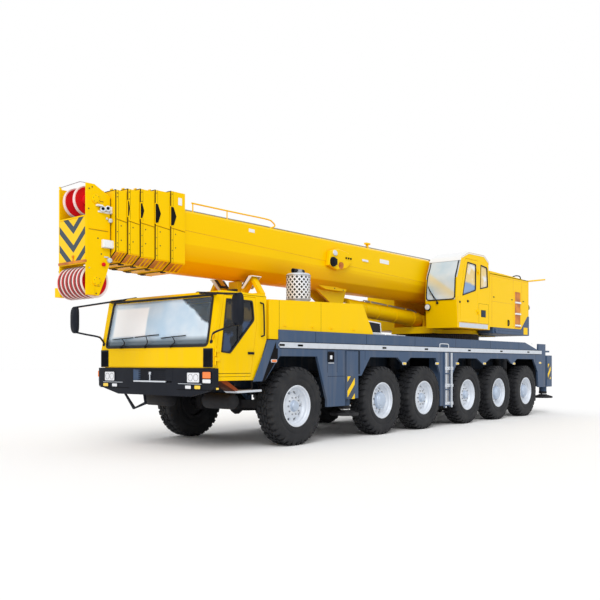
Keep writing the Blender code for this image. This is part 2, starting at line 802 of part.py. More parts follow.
def make_body():
    """The side panels with their wheel arches, joined by the deck, with a flare behind the cab's doors."""
    slope = ((DECK_END, DECK_SLOPE_Z), (DECK_SLOPE_X, PANEL_TOP))
    top = (*PANEL_EDGE, (POST_BACK, POST_HIGH), (POST_FRONT, POST_HIGH), *slope, (PANEL_FRONT, PANEL_TOP))
    deck = (
        (DECK_FRONT, DECK_TOP), (DECK_SLOPE_X, DECK_TOP), (DECK_END, DECK_SLOPE_Z), (FRAME_BACK, DECK_SLOPE_Z),
        (FRAME_BACK, DECK_SLOPE_Z - DECK_THICK), (DECK_END, DECK_SLOPE_Z - DECK_THICK),
        (DECK_SLOPE_X, DECK_TOP - DECK_THICK), (DECK_FRONT, DECK_TOP - DECK_THICK),
    )
    inner = PANEL_OUT - PANEL_THICK
    flare = (
        (FLARE_BACK, FLARE_TOP), (FLARE_FRONT, FLARE_TOP), (FLARE_TOE, CAB_FLOOR), (FLARE_HEEL, CAB_FLOOR),
        (FLARE_BACK, ARCH_TOP),
    )
    shapes = [prism(deck, -inner - WELD_IN, inner + WELD_IN)]
    for side in (1, -1):
        shapes.append(prism(top, *sorted((side * inner, side * PANEL_OUT))))
        shapes.append(prism(flare, *sorted((side * FLARE_IN, side * PANEL_OUT))))
        shapes.append(block(
            LOCKER_BACK, LOCKER_FRONT, *sorted((side * (PANEL_OUT - LOCKER_DEEP), side * (inner + WELD_IN))),
            LOCKER_LOW, STRIP_LOW,
        ))
        for x in (LADDER_FRONT - LADDER_RAIL, LADDER_BACK):
            shapes.append(block(
                x, x + LADDER_RAIL, *sorted((side * (PANEL_OUT - WELD_IN), side * HALF_WIDTH)),
                LADDER_LOW, STRIP_LOW,
            ))
        for z in TREAD_LEVELS:
            shapes.append(block(
                LADDER_BACK, LADDER_FRONT, *sorted((side * (PANEL_OUT - WELD_IN), side * HALF_WIDTH)),
                z, z + TREAD_HIGH,
            ))
    return piece("carrier_body", shapes, GREY)


def hood_top(x):
    share = (HOOD_FRONT - x) / (HOOD_FRONT - HOOD_BACK_TOP)
    return HOOD_TOP_FRONT + (HOOD_TOP - HOOD_TOP_FRONT) * share


def make_hood():
    """A hollow cover, open below, with the boom's rest on its roof."""
    outline = [
        (HOOD_FRONT, HOOD_CHIN), (HOOD_FRONT, HOOD_TOP_FRONT), (HOOD_BACK_TOP, HOOD_TOP),
        (HOOD_BACK, HOOD_SHOULDER), (HOOD_BACK, HOOD_LOW), (PANEL_FRONT + SEAT_GAP, HOOD_LOW),
        (PANEL_FRONT + SEAT_GAP, HOOD_CHIN),
    ]
    hollow = [
        (HOOD_FRONT - HOOD_WALL, HOOD_CHIN - CUT_OVER), (HOOD_FRONT - HOOD_WALL, HOOD_TOP_FRONT - HOOD_WALL),
        (HOOD_BACK_TOP, HOOD_TOP - HOOD_WALL), (HOOD_BACK + HOOD_WALL, HOOD_SHOULDER - HOOD_WALL / 2),
        (HOOD_BACK + HOOD_WALL, HOOD_CHIN - CUT_OVER),
    ]
    sill, leg = REST_SILL, REST_LEG
    back, front = REST_X - REST_HALF_X, REST_X + REST_HALF_X
    shapes = [
        prism(outline, -HOOD_HALF, HOOD_HALF),
        block(back, front, -REST_OUT_Y, REST_OUT_Y, sill - REST_SILL_THICK, sill),
        block(back, front, -REST_PAD_HALF, REST_PAD_HALF, sill - WELD_IN, BOOM_LOW - RUN_GAP),
    ]
    for side in (1, -1):
        guide = (
            (side * REST_IN_Y, sill - WELD_IN), (side * (REST_APEX_Y - REST_APEX_HALF), REST_APEX),
            (side * (REST_APEX_Y + REST_APEX_HALF), REST_APEX), (side * REST_OUT_Y, sill - WELD_IN),
            (side * (REST_OUT_Y - leg), sill - WELD_IN), (side * REST_APEX_Y, REST_APEX - leg),
            (side * (REST_IN_Y + leg), sill - WELD_IN),
        )
        shapes.append(prism(guide, back, front, "YZ"))
        shapes.append(block(
            back, front, *sorted((side * REST_OUT_Y, side * (REST_OUT_Y - leg))),
            hood_top(REST_X) - HOOD_WALL / 2, sill,
        ))
    wall = HOOD_HALF - HOOD_WALL
    return piece("engine_hood", shapes, YELLOW, cuts=[prism(hollow, -wall, wall)])


def make_muffler():
    foot = hood_top(MUFFLER_X - MUFFLER_RADIUS) + SEAT_GAP
    can = turned(
        ((0, foot), (MUFFLER_RADIUS, foot), (MUFFLER_RADIUS, MUFFLER_TOP), (0, MUFFLER_TOP)),
        (MUFFLER_X, MUFFLER_Y, 0), (0, 0, 1), 20,
    )
    neck = rod((MUFFLER_X, MUFFLER_Y, MUFFLER_TOP - WELD_IN), (MUFFLER_X, MUFFLER_Y, SPOUT_TOP), SPOUT_RADIUS)
    spout = rod(
        (MUFFLER_X - SPOUT_LONG / 2, MUFFLER_Y, SPOUT_TOP - SPOUT_RADIUS),
        (MUFFLER_X + SPOUT_LONG / 2, MUFFLER_Y, SPOUT_TOP - SPOUT_RADIUS), SPOUT_RADIUS * SPOUT_SHARE,
    )
    return piece("muffler", [can, neck, spout], SILVER)


def hinge(x, y, z, side, way, leaf):
    """The fixed barrel for the wall and, above it, the moving barrel with its leaf for the door.
    way is the direction from the axis to the door, leaf how far the leaf reaches on to it."""
    axis_y = side * (y + HINGE_STAND)
    fixed = rod((x, axis_y, z), (x, axis_y, z + HINGE_TALL), HINGE_FIXED_RADIUS, 8)
    low, high = z + HINGE_TALL + SEAT_GAP, z + 2 * HINGE_TALL
    moving = rod((x, axis_y, low), (x, axis_y, high), HINGE_RADIUS, 8)
    skim = block(*sorted((x, x + way * leaf)), *sorted((side * (y + HINGE_SKIM), axis_y)), low, high)
    root = block(
        *sorted((x + way * leaf, x + way * (leaf + HINGE_LEAF))), *sorted((side * (y - WELD_IN), axis_y)), low, high,
    )
    return fixed, [moving, skim, root]


def make_door(name, outline, window, out, wall, side, hinge_x, hinge_heights, way, parent=None):
    """A door as thick as its wall. It returns the door and the barrels that belong to the wall."""
    empty = joint_empty(name + "_axis", (hinge_x, side * (out + HINGE_STAND), outline[0][1]), parent)
    shapes = [prism(outline, *sorted((side * (out - wall), side * out)))]
    fixed = []
    for z in hinge_heights:
        barrel, moving = hinge(hinge_x, out, z, side, way, DOOR_LEAF)
        fixed.append(barrel)
        shapes += moving
    cut = prism(window, *sorted((side * (out - wall - CUT_OVER), side * (out + HINGE_STAND))))
    origin = (hinge_x, side * (out + HINGE_STAND), outline[0][1])
    piece(name, shapes, YELLOW, origin, cuts=[cut], parent=empty)
    return fixed


def mirror_parts(side):
    """A mirror on an arm from the roof and a bent arm from the foot of the windscreen."""
    y = side * MIRROR_Y
    low, high = MIRROR_Z - MIRROR_HALF_Z, MIRROR_Z + MIRROR_HALF_Z
    head = block(
        MIRROR_X - MIRROR_HALF_X, MIRROR_X + MIRROR_HALF_X, y - MIRROR_HALF_Y, y + MIRROR_HALF_Y, low, high,
    )
    parts = [head]
    ways = (
        (MIRROR_ROOT_HIGH, (MIRROR_X, MIRROR_Y, high - MIRROR_ARM_IN)),
        (MIRROR_ROOT_LOW, MIRROR_BEND),
        (MIRROR_BEND, (MIRROR_X, MIRROR_Y, low + MIRROR_ARM_IN)),
    )
    for start, end in ways:
        parts.append(rod((start[0], side * start[1], start[2]), (end[0], side * end[1], end[2]), MIRROR_ARM, 8))
    return parts


def make_cab():
    inner = CAB_HALF - CAB_WALL
    cuts = [
        prism(inset(CAB_SIDE, CAB_WALL), -inner, inner),
        block(CAB_BROW_X - CAB_WALL * 2, CAB_NOSE + CUT_OVER, -SCREEN_HALF, SCREEN_HALF, SCREEN_LOW, SCREEN_HIGH),
    ]
    shapes = [prism(CAB_SIDE, -CAB_HALF, CAB_HALF)]
    for name, side in (("door_left", 1), ("door_right", -1)):
        shapes += make_door(
            name, DOOR_SIDE, DOOR_WINDOW, CAB_HALF, CAB_WALL, side, DOOR_HINGE_X, DOOR_HINGE_Z, -1,
        )
        shapes += mirror_parts(side)
        cuts.append(prism(inset(DOOR_SIDE, -DOOR_GAP), *sorted((side * (inner - CUT_OVER), side * CAB_HALF_CUT))))
    return piece("carrier_cab", shapes, YELLOW, cuts=cuts)


def seat_parts(x, y, floor, low):
    """A cushion on its pedestal, with a backrest. x is the front of the backrest."""
    half = SEAT_HALF
    return [
        block(x + SEAT_FOOT_IN, x + SEAT_DEEP - SEAT_FOOT_IN, y - half * SEAT_FOOT_SHARE, y + half * SEAT_FOOT_SHARE,
              floor, low + WELD_IN),
        block(x - BACKREST_THICK, x + SEAT_DEEP, y - half, y + half, low, low + SEAT_THICK),
        block(x - BACKREST_THICK, x, y - half, y + half, low + SEAT_THICK - WELD_IN, low + SEAT_THICK + BACKREST_TALL),
    ]


def make_interior():
    """Both seats, the dashboard and the steering wheel, on one floor mat."""
    floor = CAB_FLOOR + CAB_WALL + SEAT_GAP
    mat = floor + MAT_THICK
    dash = [(DASH_BACK, DASH_LOW), (DASH_FOOT, DASH_LOW), (DASH_FRONT, DASH_FRONT_Z), (DASH_BACK, DASH_HIGH)]
    shapes = [
        block(MAT_BACK, DASH_FOOT, -MAT_HALF, MAT_HALF, floor, mat),
        prism(dash, -DASH_HALF, DASH_HALF),
        block(DASH_BACK + DASH_LEG_IN, DASH_FOOT, -MAT_HALF, MAT_HALF, mat - WELD_IN, DASH_LOW + WELD_IN),
    ]
    for side in (1, -1):
        shapes += seat_parts(SEAT_BACK_X, side * SEAT_Y, mat - WELD_IN, SEAT_Z)
    hub = Vector(STEERING_HUB)
    lean = Vector(STEERING_LEAN).normalized()
    tube = WHEEL_RIM_TUBE
    ring = ((WHEEL_RIM - tube, -tube), (WHEEL_RIM + tube, -tube), (WHEEL_RIM + tube, tube), (WHEEL_RIM - tube, tube))
    across = Vector((0, WHEEL_RIM, 0))
    shapes += [
        turned(ring, hub, lean, 20),
        rod(hub - across, hub + across, tube * SPOKE_SHARE, 6),
        rod(hub + lean * tube, hub - lean * COLUMN_LONG, COLUMN_RADIUS, 10),
    ]
    return piece("carrier_interior", shapes, BLACK)


def make_bumper():
    mid = HALF_WIDTH * BUMPER_KNEE_SHARE
    outline = (
        (-HALF_WIDTH, BUMPER_TOP), (-HALF_WIDTH, BUMPER_END_LOW), (-mid, BUMPER_MID_LOW), (mid, BUMPER_MID_LOW),
        (HALF_WIDTH, BUMPER_END_LOW), (HALF_WIDTH, BUMPER_TOP),
    )
    recess = block(
        CARRIER_FRONT - GRILLE_DEEP, CARRIER_FRONT + CUT_OVER, -GRILLE_HALF, GRILLE_HALF, GRILLE_LOW, GRILLE_HIGH,
    )
    shapes = [prism(outline, BUMPER_BACK, CARRIER_FRONT, "YZ")]
    bar = STIRRUP_BAR
    top = BUMPER_MID_LOW + WELD_IN
    (knee_y, knee_z), (toe_y, toe_z) = STIRRUP_KNEE, STIRRUP_TOE
    loop = (
        (STIRRUP_OUT, top), (knee_y, knee_z), (toe_y, toe_z), (STIRRUP_IN, top),
        (STIRRUP_IN - bar, top), (toe_y - bar, toe_z + bar), (knee_y + bar, knee_z + bar), (STIRRUP_OUT + bar, top),
    )
    shapes.append(prism(loop, STIRRUP_X - bar / 2, STIRRUP_X + bar / 2, "YZ"))
    return piece("front_bumper", shapes, BLACK, cuts=[recess])


def make_ring():
    profile = ((RING_BORE, RING_LOW), (RING_RADIUS, RING_LOW), (RING_RADIUS, RING_HIGH), (RING_BORE, RING_HIGH))
    return piece("slewing_ring", [turned(profile, (SLEW_X, 0, 0), (0, 0, 1), 32)], DARK)


def make_turntable(parent):
    """Base plate, slewing disc, cheeks with the boom's pivot pin, and the lift cylinder's foot."""
    disc = ((0, TABLE_LOW), (RING_RADIUS, TABLE_LOW), (RING_RADIUS, DISC_HIGH), (0, DISC_HIGH))
    cheek = (
        (CHEEK_TOE, TABLE_HIGH - WELD_IN), (CHEEK_KNEE, CHEEK_KNEE_Z), (PIVOT_X + PIVOT_BOSS, PIVOT_Z + PIVOT_BOSS),
        (PIVOT_X - PIVOT_BOSS, PIVOT_Z + PIVOT_BOSS), (CHEEK_HEEL, WINCH_Z + WINCH_ARM),
        (WINCH_X - WINCH_ARM, WINCH_Z + WINCH_ARM), (WINCH_X - WINCH_ARM, WINCH_Z - WINCH_ARM),
        (CHEEK_HEEL, WINCH_Z - 2 * WINCH_ARM), (CHEEK_HEEL, TABLE_HIGH - WELD_IN),
    )
    shapes = [
        turned(disc, (SLEW_X, 0, 0), (0, 0, 1), 32),
        block(TABLE_BACK, TABLE_FRONT, -TABLE_HALF, TABLE_HALF, TABLE_LOW, TABLE_HIGH),
    ]
    for side in (1, -1):
        shapes.append(prism(cheek, *sorted((side * CHEEK_IN, side * CHEEK_OUT))))
        boss_face = BOOM_HALF + SEAT_GAP
        shapes.append(rod(
            (PIVOT_X, side * boss_face, PIVOT_Z), (PIVOT_X, side * (CHEEK_IN + WELD_IN), PIVOT_Z), PIVOT_BOSS, 16,
        ))
        foot_in = FOOT_HALF + SEAT_GAP
        shapes.append(block(
            FOOT_X - FOOT_CHEEK_REACH, FOOT_X + FOOT_CHEEK_REACH,
            *sorted((side * foot_in, side * (foot_in + FOOT_CHEEK))),
            TABLE_HIGH - WELD_IN, FOOT_Z + FOOT_PIN + FOOT_CHEEK,
        ))
    foot_end = FOOT_HALF + SEAT_GAP + FOOT_CHEEK
    shapes.append(rod((FOOT_X, -foot_end, FOOT_Z), (FOOT_X, foot_end, FOOT_Z), FOOT_PIN, 16))
    shapes.append(rod((PIVOT_X, -CHEEK_OUT, PIVOT_Z), (PIVOT_X, CHEEK_OUT, PIVOT_Z), PIVOT_RADIUS, 16))
    return piece("turntable", shapes, YELLOW, (SLEW_X, 0, RING_HIGH), parent=parent)


def make_houses(parent):
    """The machine houses on both sides of the boom."""
    rise = ((WEIGHT_RISE_X, HOUSE_LOW + SEAT_GAP), (WEIGHT_RISE_END, WEIGHT_HIGH + SEAT_GAP),
            (HOUSE_BACK, WEIGHT_HIGH + SEAT_GAP), (HOUSE_BACK, HOUSE_HIGH_BACK))
    left = ((HOUSE_FRONT, HOUSE_LOW + SEAT_GAP), *rise, (HOUSE_FRONT, HOUSE_HIGH))
    step = WEIGHT_FRONT + RUN_GAP
    right = (
        (RIGHT_HOUSE_FRONT, BOOTH_LOW), (step, BOOTH_LOW), (step, HOUSE_LOW + SEAT_GAP), *rise,
        (RIGHT_STEP_X, HOUSE_HIGH), (RIGHT_STEP_X, RIGHT_HOUSE_HIGH), (RIGHT_HOUSE_FRONT, RIGHT_HOUSE_HIGH),
    )
    piece(
        "machine_house_left", [prism(left, HOUSE_IN, HOUSE_OUT), rod(BAR_ROOT, BAR_TIP, BAR_RADIUS, 8)],
        YELLOW, parent=parent,
    )
    piece("machine_house_right", [prism(right, -HOUSE_OUT, -HOUSE_IN)], YELLOW, parent=parent)


def make_counterweight(parent):
    plan = (
        (WEIGHT_FRONT, WEIGHT_IN), (WEIGHT_FRONT, HOUSE_OUT), (WEIGHT_BACK, HOUSE_OUT), (WEIGHT_BACK, -HOUSE_OUT),
        (WEIGHT_FRONT, -HOUSE_OUT), (WEIGHT_FRONT, -WEIGHT_IN), (WEIGHT_IN_X, -WEIGHT_IN), (WEIGHT_IN_X, -HOUSE_IN),
        (TABLE_BACK - SEAT_GAP, -HOUSE_IN), (TABLE_BACK - SEAT_GAP, HOUSE_IN), (WEIGHT_IN_X, HOUSE_IN),
        (WEIGHT_IN_X, WEIGHT_IN),
    )
    wedge = (
        (WEIGHT_RISE_X, HOUSE_LOW), (WEIGHT_RISE_END, WEIGHT_HIGH), (WEIGHT_BACK, WEIGHT_HIGH),
        (WEIGHT_BACK, HOUSE_LOW - WELD_IN), (WEIGHT_RISE_X, HOUSE_LOW - WELD_IN),
    )
    shapes = [prism(plan, WEIGHT_LOW, HOUSE_LOW, "XY")]
    for side in (1, -1):
        shapes.append(prism(wedge, *sorted((side * HOUSE_IN, side * HOUSE_OUT))))
    shapes.append(block(WEIGHT_BACK, TABLE_BACK - SEAT_GAP, -HOUSE_OUT, HOUSE_OUT, WEIGHT_LOW, HOUSE_LOW))
    return piece("counterweight", shapes, GREY, parent=parent)


def make_winch(parent):
    end, flange, thick = WINCH_HALF, WINCH_FLANGE, WINCH_FLANGE_THICK
    inner = end - WINCH_STUB_LONG
    profile = (
        (0, -end), (WINCH_STUB, -end), (WINCH_STUB, -inner), (flange, -inner), (flange, thick - inner),
        (WINCH_DRUM, thick - inner), (WINCH_DRUM, inner - thick), (flange, inner - thick), (flange, inner),
        (WINCH_STUB, inner), (WINCH_STUB, end), (0, end),
    )
    drum = turned(profile, (WINCH_X, 0, WINCH_Z), (0, 1, 0), 24)
    return piece("winch", [drum], DARK, (WINCH_X, 0, WINCH_Z), parent=parent)


def make_booth(parent):
    """The operator's cab with its seat, beside the boom on the left."""
    over = BOOTH_WALL + CUT_OVER
    low, high = BOOTH_SCREEN
    cuts = [
        prism(inset(BOOTH_SIDE, BOOTH_WALL), BOOTH_IN + BOOTH_WALL, BOOTH_OUT - BOOTH_WALL),
        block(*BOOTH_SCREEN_X, BOOTH_IN + BOOTH_SCREEN_INSET, BOOTH_OUT - BOOTH_SCREEN_INSET, low, high),
        prism(BOOTH_BACK_WINDOW, BOOTH_OUT - over, BOOTH_OUT + CUT_OVER),
        prism(BOOTH_BOOM_WINDOW, BOOTH_IN - CUT_OVER, BOOTH_IN + over),
        prism(inset(BOOTH_DOOR, -DOOR_GAP), BOOTH_OUT - over, BOOTH_OUT + SEAT_GAP),
    ]
    floor = BOOTH_LOW + BOOTH_WALL - WELD_IN
    shapes = [prism(BOOTH_SIDE, BOOTH_IN, BOOTH_OUT)]
    shell = piece("operator_cab_shell", shapes, YELLOW, cuts=cuts)
    barrels = make_door(
        "operator_door", BOOTH_DOOR, BOOTH_WINDOW, BOOTH_OUT, BOOTH_WALL, 1, BOOTH_HINGE_X, BOOTH_HINGE_Z, 1, parent,
    )
    seat = seat_parts(BOOTH_SEAT_X, (BOOTH_IN + BOOTH_OUT) / 2, floor, BOOTH_SEAT_Z)
    return piece("operator_cab", [shell, *barrels, *seat], YELLOW, parent=parent)


def cylinder_parts(empty_luff):
    foot, eye = Vector((FOOT_X, 0, FOOT_Z)), Vector((EYE_X, 0, EYE_Z))
    way = (eye - foot).normalized()
    long = (eye - foot).length
    front = long - BARREL_SHORT
    profile = (
        (0, BARREL_NECK_START), (BARREL_NECK, BARREL_NECK_START), (BARREL_NECK, BARREL_START),
        (BARREL_RADIUS, BARREL_START), (BARREL_RADIUS, front), (BARREL_BORE, front),
        (BARREL_BORE, BARREL_FLOOR), (0, BARREL_FLOOR),
    )
    across = Vector((0, 1, 0))
    piece(
        "lift_barrel",
        [turned(profile, foot, way, CYLINDER_SIDES), rod(foot - across * FOOT_HALF, foot + across * FOOT_HALF, FOOT_RADIUS, 20)],
        YELLOW, foot, cuts=[rod(foot - across * FOOT_REACH, foot + across * FOOT_REACH, FOOT_PIN + RUN_GAP, 16)],
        parent=empty_luff,
    )
    start = foot + way * (BARREL_FLOOR + ROD_START_GAP)
    piece(
        "lift_rod", [rod(start, eye, ROD_RADIUS, CYLINDER_SIDES), rod(eye - across * EYE_HALF, eye + across * EYE_HALF, EYE_RADIUS, 20)],
        SILVER, eye, parent=empty_luff,
    )


def tube_outline(index, shrink=0.0):
    """A boom section across: flat top with cut corners, straight sides and a round underside."""
    half = BOOM_HALF - index * BOOM_STEP - shrink
    low = BOOM_LOW + index * BOOM_STEP + shrink
    top = BOOM_TOP - index * BOOM_STEP - shrink
    points = [(half, top - BOOM_CORNER), (half - BOOM_CORNER, top), (BOOM_CORNER - half, top), (-half, top - BOOM_CORNER)]
    deep = half * ARC_SHARE
    for step in range(2 * ARC_SIDES + 1):
        turn = math.pi * step / (2 * ARC_SIDES)
        points.append((-half * math.cos(turn), low + deep * (1 - math.sin(turn))))
    return points


def collar_outline(index):
    front, top, corner = COLLARS[index]
    half = COLLAR_HALF - index * COLLAR_HALF_STEP
    low = COLLAR_LOW + index * COLLAR_LOW_STEP
    flat = half * COLLAR_FLAT_SHARE
    return [(half, top), (-half, top), (-half, corner), (-flat, low), (flat, low), (half, corner)]


def make_section(index, parent):
    """One telescoping tube with the boxy collar at its front."""
    back = BOOM_BACK if index == 0 else SECTION_BACK + (index - 1) * SECTION_BACK_STEP
    front = COLLARS[index][0]
    behind = COLLARS[index - 1][0] + RUN_GAP if index else COLLAR_BACK
    shapes = [prism(tube_outline(index), back, front, "YZ"), prism(collar_outline(index), behind, front, "YZ")]
    cuts = [
        prism(tube_outline(index, BOOM_WALL), back - CUT_OVER, front - WEAR_RING, "YZ"),
        prism(tube_outline(index + 1, -SEAT_GAP), back - CUT_OVER, front + CUT_OVER, "YZ"),
    ]
    origin = (front, 0, BOOM_LOW)
    if index == 0:
        lug = (
            (EYE_X + LUG_FRONT, BOOM_LOW + LUG_RISE), (EYE_X + LUG_TOE, EYE_Z - LUG_DROP),
            (EYE_X - LUG_TOE, EYE_Z - LUG_DROP), (EYE_X - LUG_BACK, BOOM_LOW + LUG_RISE),
        )
        for side in (1, -1):
            shapes.append(prism(lug, *sorted((side * LUG_IN, side * LUG_OUT))))
        cuts.append(rod(
            (PIVOT_X, -BOOM_HALF - CUT_OVER, PIVOT_Z), (PIVOT_X, BOOM_HALF + CUT_OVER, PIVOT_Z),
            PIVOT_RADIUS + RUN_GAP, 16,
        ))
        origin = (PIVOT_X, 0, PIVOT_Z)
    return piece(f"boom_section_{index + 1}", shapes, YELLOW, origin, cuts=cuts, parent=parent)


def sheave_pack(name, x, z, radius, count, pitch, parent):
    """Sheaves side by side on one hub, each with its rope groove."""
    bore = PIN_RADIUS + SEAT_GAP
    profile = []
    for index in range(count):
        y = (index - (count - 1) / 2) * pitch
        profile += [
            (SHEAVE_HUB, y - SHEAVE_HALF), (radius, y - SHEAVE_HALF), (radius - GROOVE_DEEP, y),
            (radius, y + SHEAVE_HALF), (SHEAVE_HUB, y + SHEAVE_HALF),
        ]
    reach = HEAD_HALF - HEAD_PLATE - SEAT_GAP
    ring = [(bore, -reach), (SHEAVE_HUB, -reach), *profile, (SHEAVE_HUB, reach), (bore, reach)]
    return piece(name, [turned(ring, (x, 0, z), (0, 1, 0), SHEAVE_SIDES)], RED, (x, 0, z), parent=parent)


def make_head(parent):
    """The innermost section, which carries the head plates and both sheave pins."""
    index = len(COLLARS)
    back = SECTION_BACK + (index - 1) * SECTION_BACK_STEP
    shapes = [prism(tube_outline(index), back, HEAD_BACK + WELD_IN, "YZ")]
    plate = (
        (HEAD_BACK, HEAD_TAIL_LOW), (HEAD_JAW_X, HEAD_JAW_Z), (HEAD_CHIN_X, HEAD_LOW), (HEAD_FRONT, HEAD_LOW),
        (HEAD_FRONT, HEAD_HIGH), (HEAD_BROW_X, HEAD_HIGH), (HEAD_BACK, HEAD_TAIL_HIGH),
    )
    for side in (1, -1):
        shapes.append(prism(plate, *sorted((side * (HEAD_HALF - HEAD_PLATE), side * HEAD_HALF))))
    inner = HEAD_HALF - WELD_IN
    shapes += [
        block(HEAD_BACK, HEAD_BACK + HEAD_SHEET, -inner, inner, HEAD_TAIL_LOW, HEAD_TAIL_HIGH),
        block(HEAD_FRONT - HEAD_SHEET, HEAD_FRONT, -inner, inner, CHEVRON_LOW, CHEVRON_HIGH),
    ]
    for x, z in ((UPPER_SHEAVE_X, UPPER_SHEAVE_Z), (LOWER_SHEAVE_X, LOWER_SHEAVE_Z)):
        shapes.append(rod((x, -inner, z), (x, inner, z), PIN_RADIUS, SHEAVE_SIDES))
    cut = prism(tube_outline(index, BOOM_WALL), back - CUT_OVER, HEAD_BACK, "YZ")
    origin = (HEAD_BACK, 0, BOOM_LOW)
    piece("boom_head", shapes, YELLOW, origin, cuts=[cut], parent=parent)
    sheave_pack(
        "sheaves_upper", UPPER_SHEAVE_X, UPPER_SHEAVE_Z, UPPER_SHEAVE_RADIUS, UPPER_COUNT, UPPER_PITCH, parent,
    )
    sheave_pack(
        "sheaves_lower", LOWER_SHEAVE_X, LOWER_SHEAVE_Z, SHEAVE_RADIUS, LOWER_COUNT, LOWER_PITCH, parent,
    )


def main():
    for index, x in enumerate(AXLE_STEPS):
        for word, side in (("left", 1), ("right", -1)):
            carried = None
            if index in STEERED:
                carried = make_knuckle(f"knuckle_{index + 1}_{word}", x, side)[1]
            make_wheel(f"wheel_{index + 1}_{word}", x, side, carried)
    make_axles("axles_front", 0, 2)
    make_axles("axles_back", 3, 5)
    make_frame()
    for place, x in (("front", FRONT_JACK_X), ("back", BACK_JACK_X)):
        for word, side in (("left", 1), ("right", -1)):
            make_outrigger(f"outrigger_{place}_{word}", x, side)
    make_body()
    make_hood()
    block_back = ENGINE_FRONT - ENGINE_LONG
    engine = block(block_back, ENGINE_FRONT, -ENGINE_HALF, ENGINE_HALF, ENGINE_LOW, ENGINE_LOW + ENGINE_TALL)
    piece("engine", [engine], DARK)
    make_muffler()
    make_cab()
    make_interior()
    make_bumper()
    make_ring()
    slew = joint_empty("slew_axis", (SLEW_X, 0, RING_HIGH))
    make_turntable(slew)
    make_houses(slew)
    make_counterweight(slew)
    make_winch(slew)
    make_booth(slew)
    luff = joint_empty("luff_axis", (PIVOT_X, 0, PIVOT_Z), slew)
    cylinder_parts(slew)
    for index in range(len(COLLARS)):
        make_section(index, luff)
    make_head(luff)


main()
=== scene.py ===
import json
import math

import bmesh
import bpy
import numpy as np
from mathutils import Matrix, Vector

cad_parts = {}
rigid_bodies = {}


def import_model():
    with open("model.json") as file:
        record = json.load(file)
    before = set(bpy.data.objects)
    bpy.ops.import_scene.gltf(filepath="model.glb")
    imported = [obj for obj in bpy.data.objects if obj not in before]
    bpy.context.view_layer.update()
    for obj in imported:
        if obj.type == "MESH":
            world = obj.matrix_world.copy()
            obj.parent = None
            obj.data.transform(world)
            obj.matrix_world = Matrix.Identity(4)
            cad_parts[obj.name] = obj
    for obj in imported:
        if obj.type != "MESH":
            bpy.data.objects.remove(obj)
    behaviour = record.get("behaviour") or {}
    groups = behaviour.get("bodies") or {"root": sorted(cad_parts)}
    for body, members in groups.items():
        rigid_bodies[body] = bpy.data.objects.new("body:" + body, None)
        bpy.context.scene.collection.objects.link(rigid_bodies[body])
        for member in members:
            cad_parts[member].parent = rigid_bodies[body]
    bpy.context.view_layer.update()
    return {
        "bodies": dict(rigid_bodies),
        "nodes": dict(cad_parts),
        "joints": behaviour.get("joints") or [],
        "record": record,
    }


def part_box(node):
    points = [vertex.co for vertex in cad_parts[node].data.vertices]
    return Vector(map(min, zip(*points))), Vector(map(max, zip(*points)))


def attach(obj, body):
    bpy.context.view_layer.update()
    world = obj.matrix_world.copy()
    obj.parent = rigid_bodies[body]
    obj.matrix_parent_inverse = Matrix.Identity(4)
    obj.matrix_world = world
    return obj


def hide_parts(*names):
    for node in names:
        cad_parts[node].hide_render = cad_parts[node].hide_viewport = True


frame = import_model()
nodes = frame["nodes"]
frontAxle = float(np.mean([corner[0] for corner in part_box("wheel_1_left")]))  # the CAD's places are counted from here
print("frame loaded")


def along(x):
    return frontAxle + x


class Wire:  # a socket in a node tree; an expression on it adds the Math nodes
    def __init__(self, look, socket):
        self.look = look
        self.socket = socket

    def math(self, operation, *others):
        values = {place: value for place, value in enumerate((self, *others))}
        return self.look.node("ShaderNodeMath", {"operation": operation}, values)

    def __add__(self, other):
        return self.math("ADD", other)

    __radd__ = __add__

    def __sub__(self, other):
        return self.math("SUBTRACT", other)

    def __rsub__(self, other):
        return (self * -1) + other

    def __mul__(self, other):
        return self.math("MULTIPLY", other)

    __rmul__ = __mul__

    def __truediv__(self, other):
        return self.math("DIVIDE", other)

    def __pow__(self, other):
        return self.math("POWER", other)

    def __gt__(self, other):
        return self.math("GREATER_THAN", other)

    def __lt__(self, other):
        return self.math("LESS_THAN", other)

    def clamped(self):
        return self.math("MAXIMUM", 0.0).math("MINIMUM", 1.0)

    def sine(self):
        return self.math("SINE")

    def size(self):
        return self.math("ABSOLUTE")

    def turn(self, other):
        return self.math("ARCTAN2", other)

    def fraction(self):
        return self.math("FRACT")

    def ramp(self, low, high):  # 0 below low, 1 above high, straight between
        return ((self - low) / (high - low)).clamped()


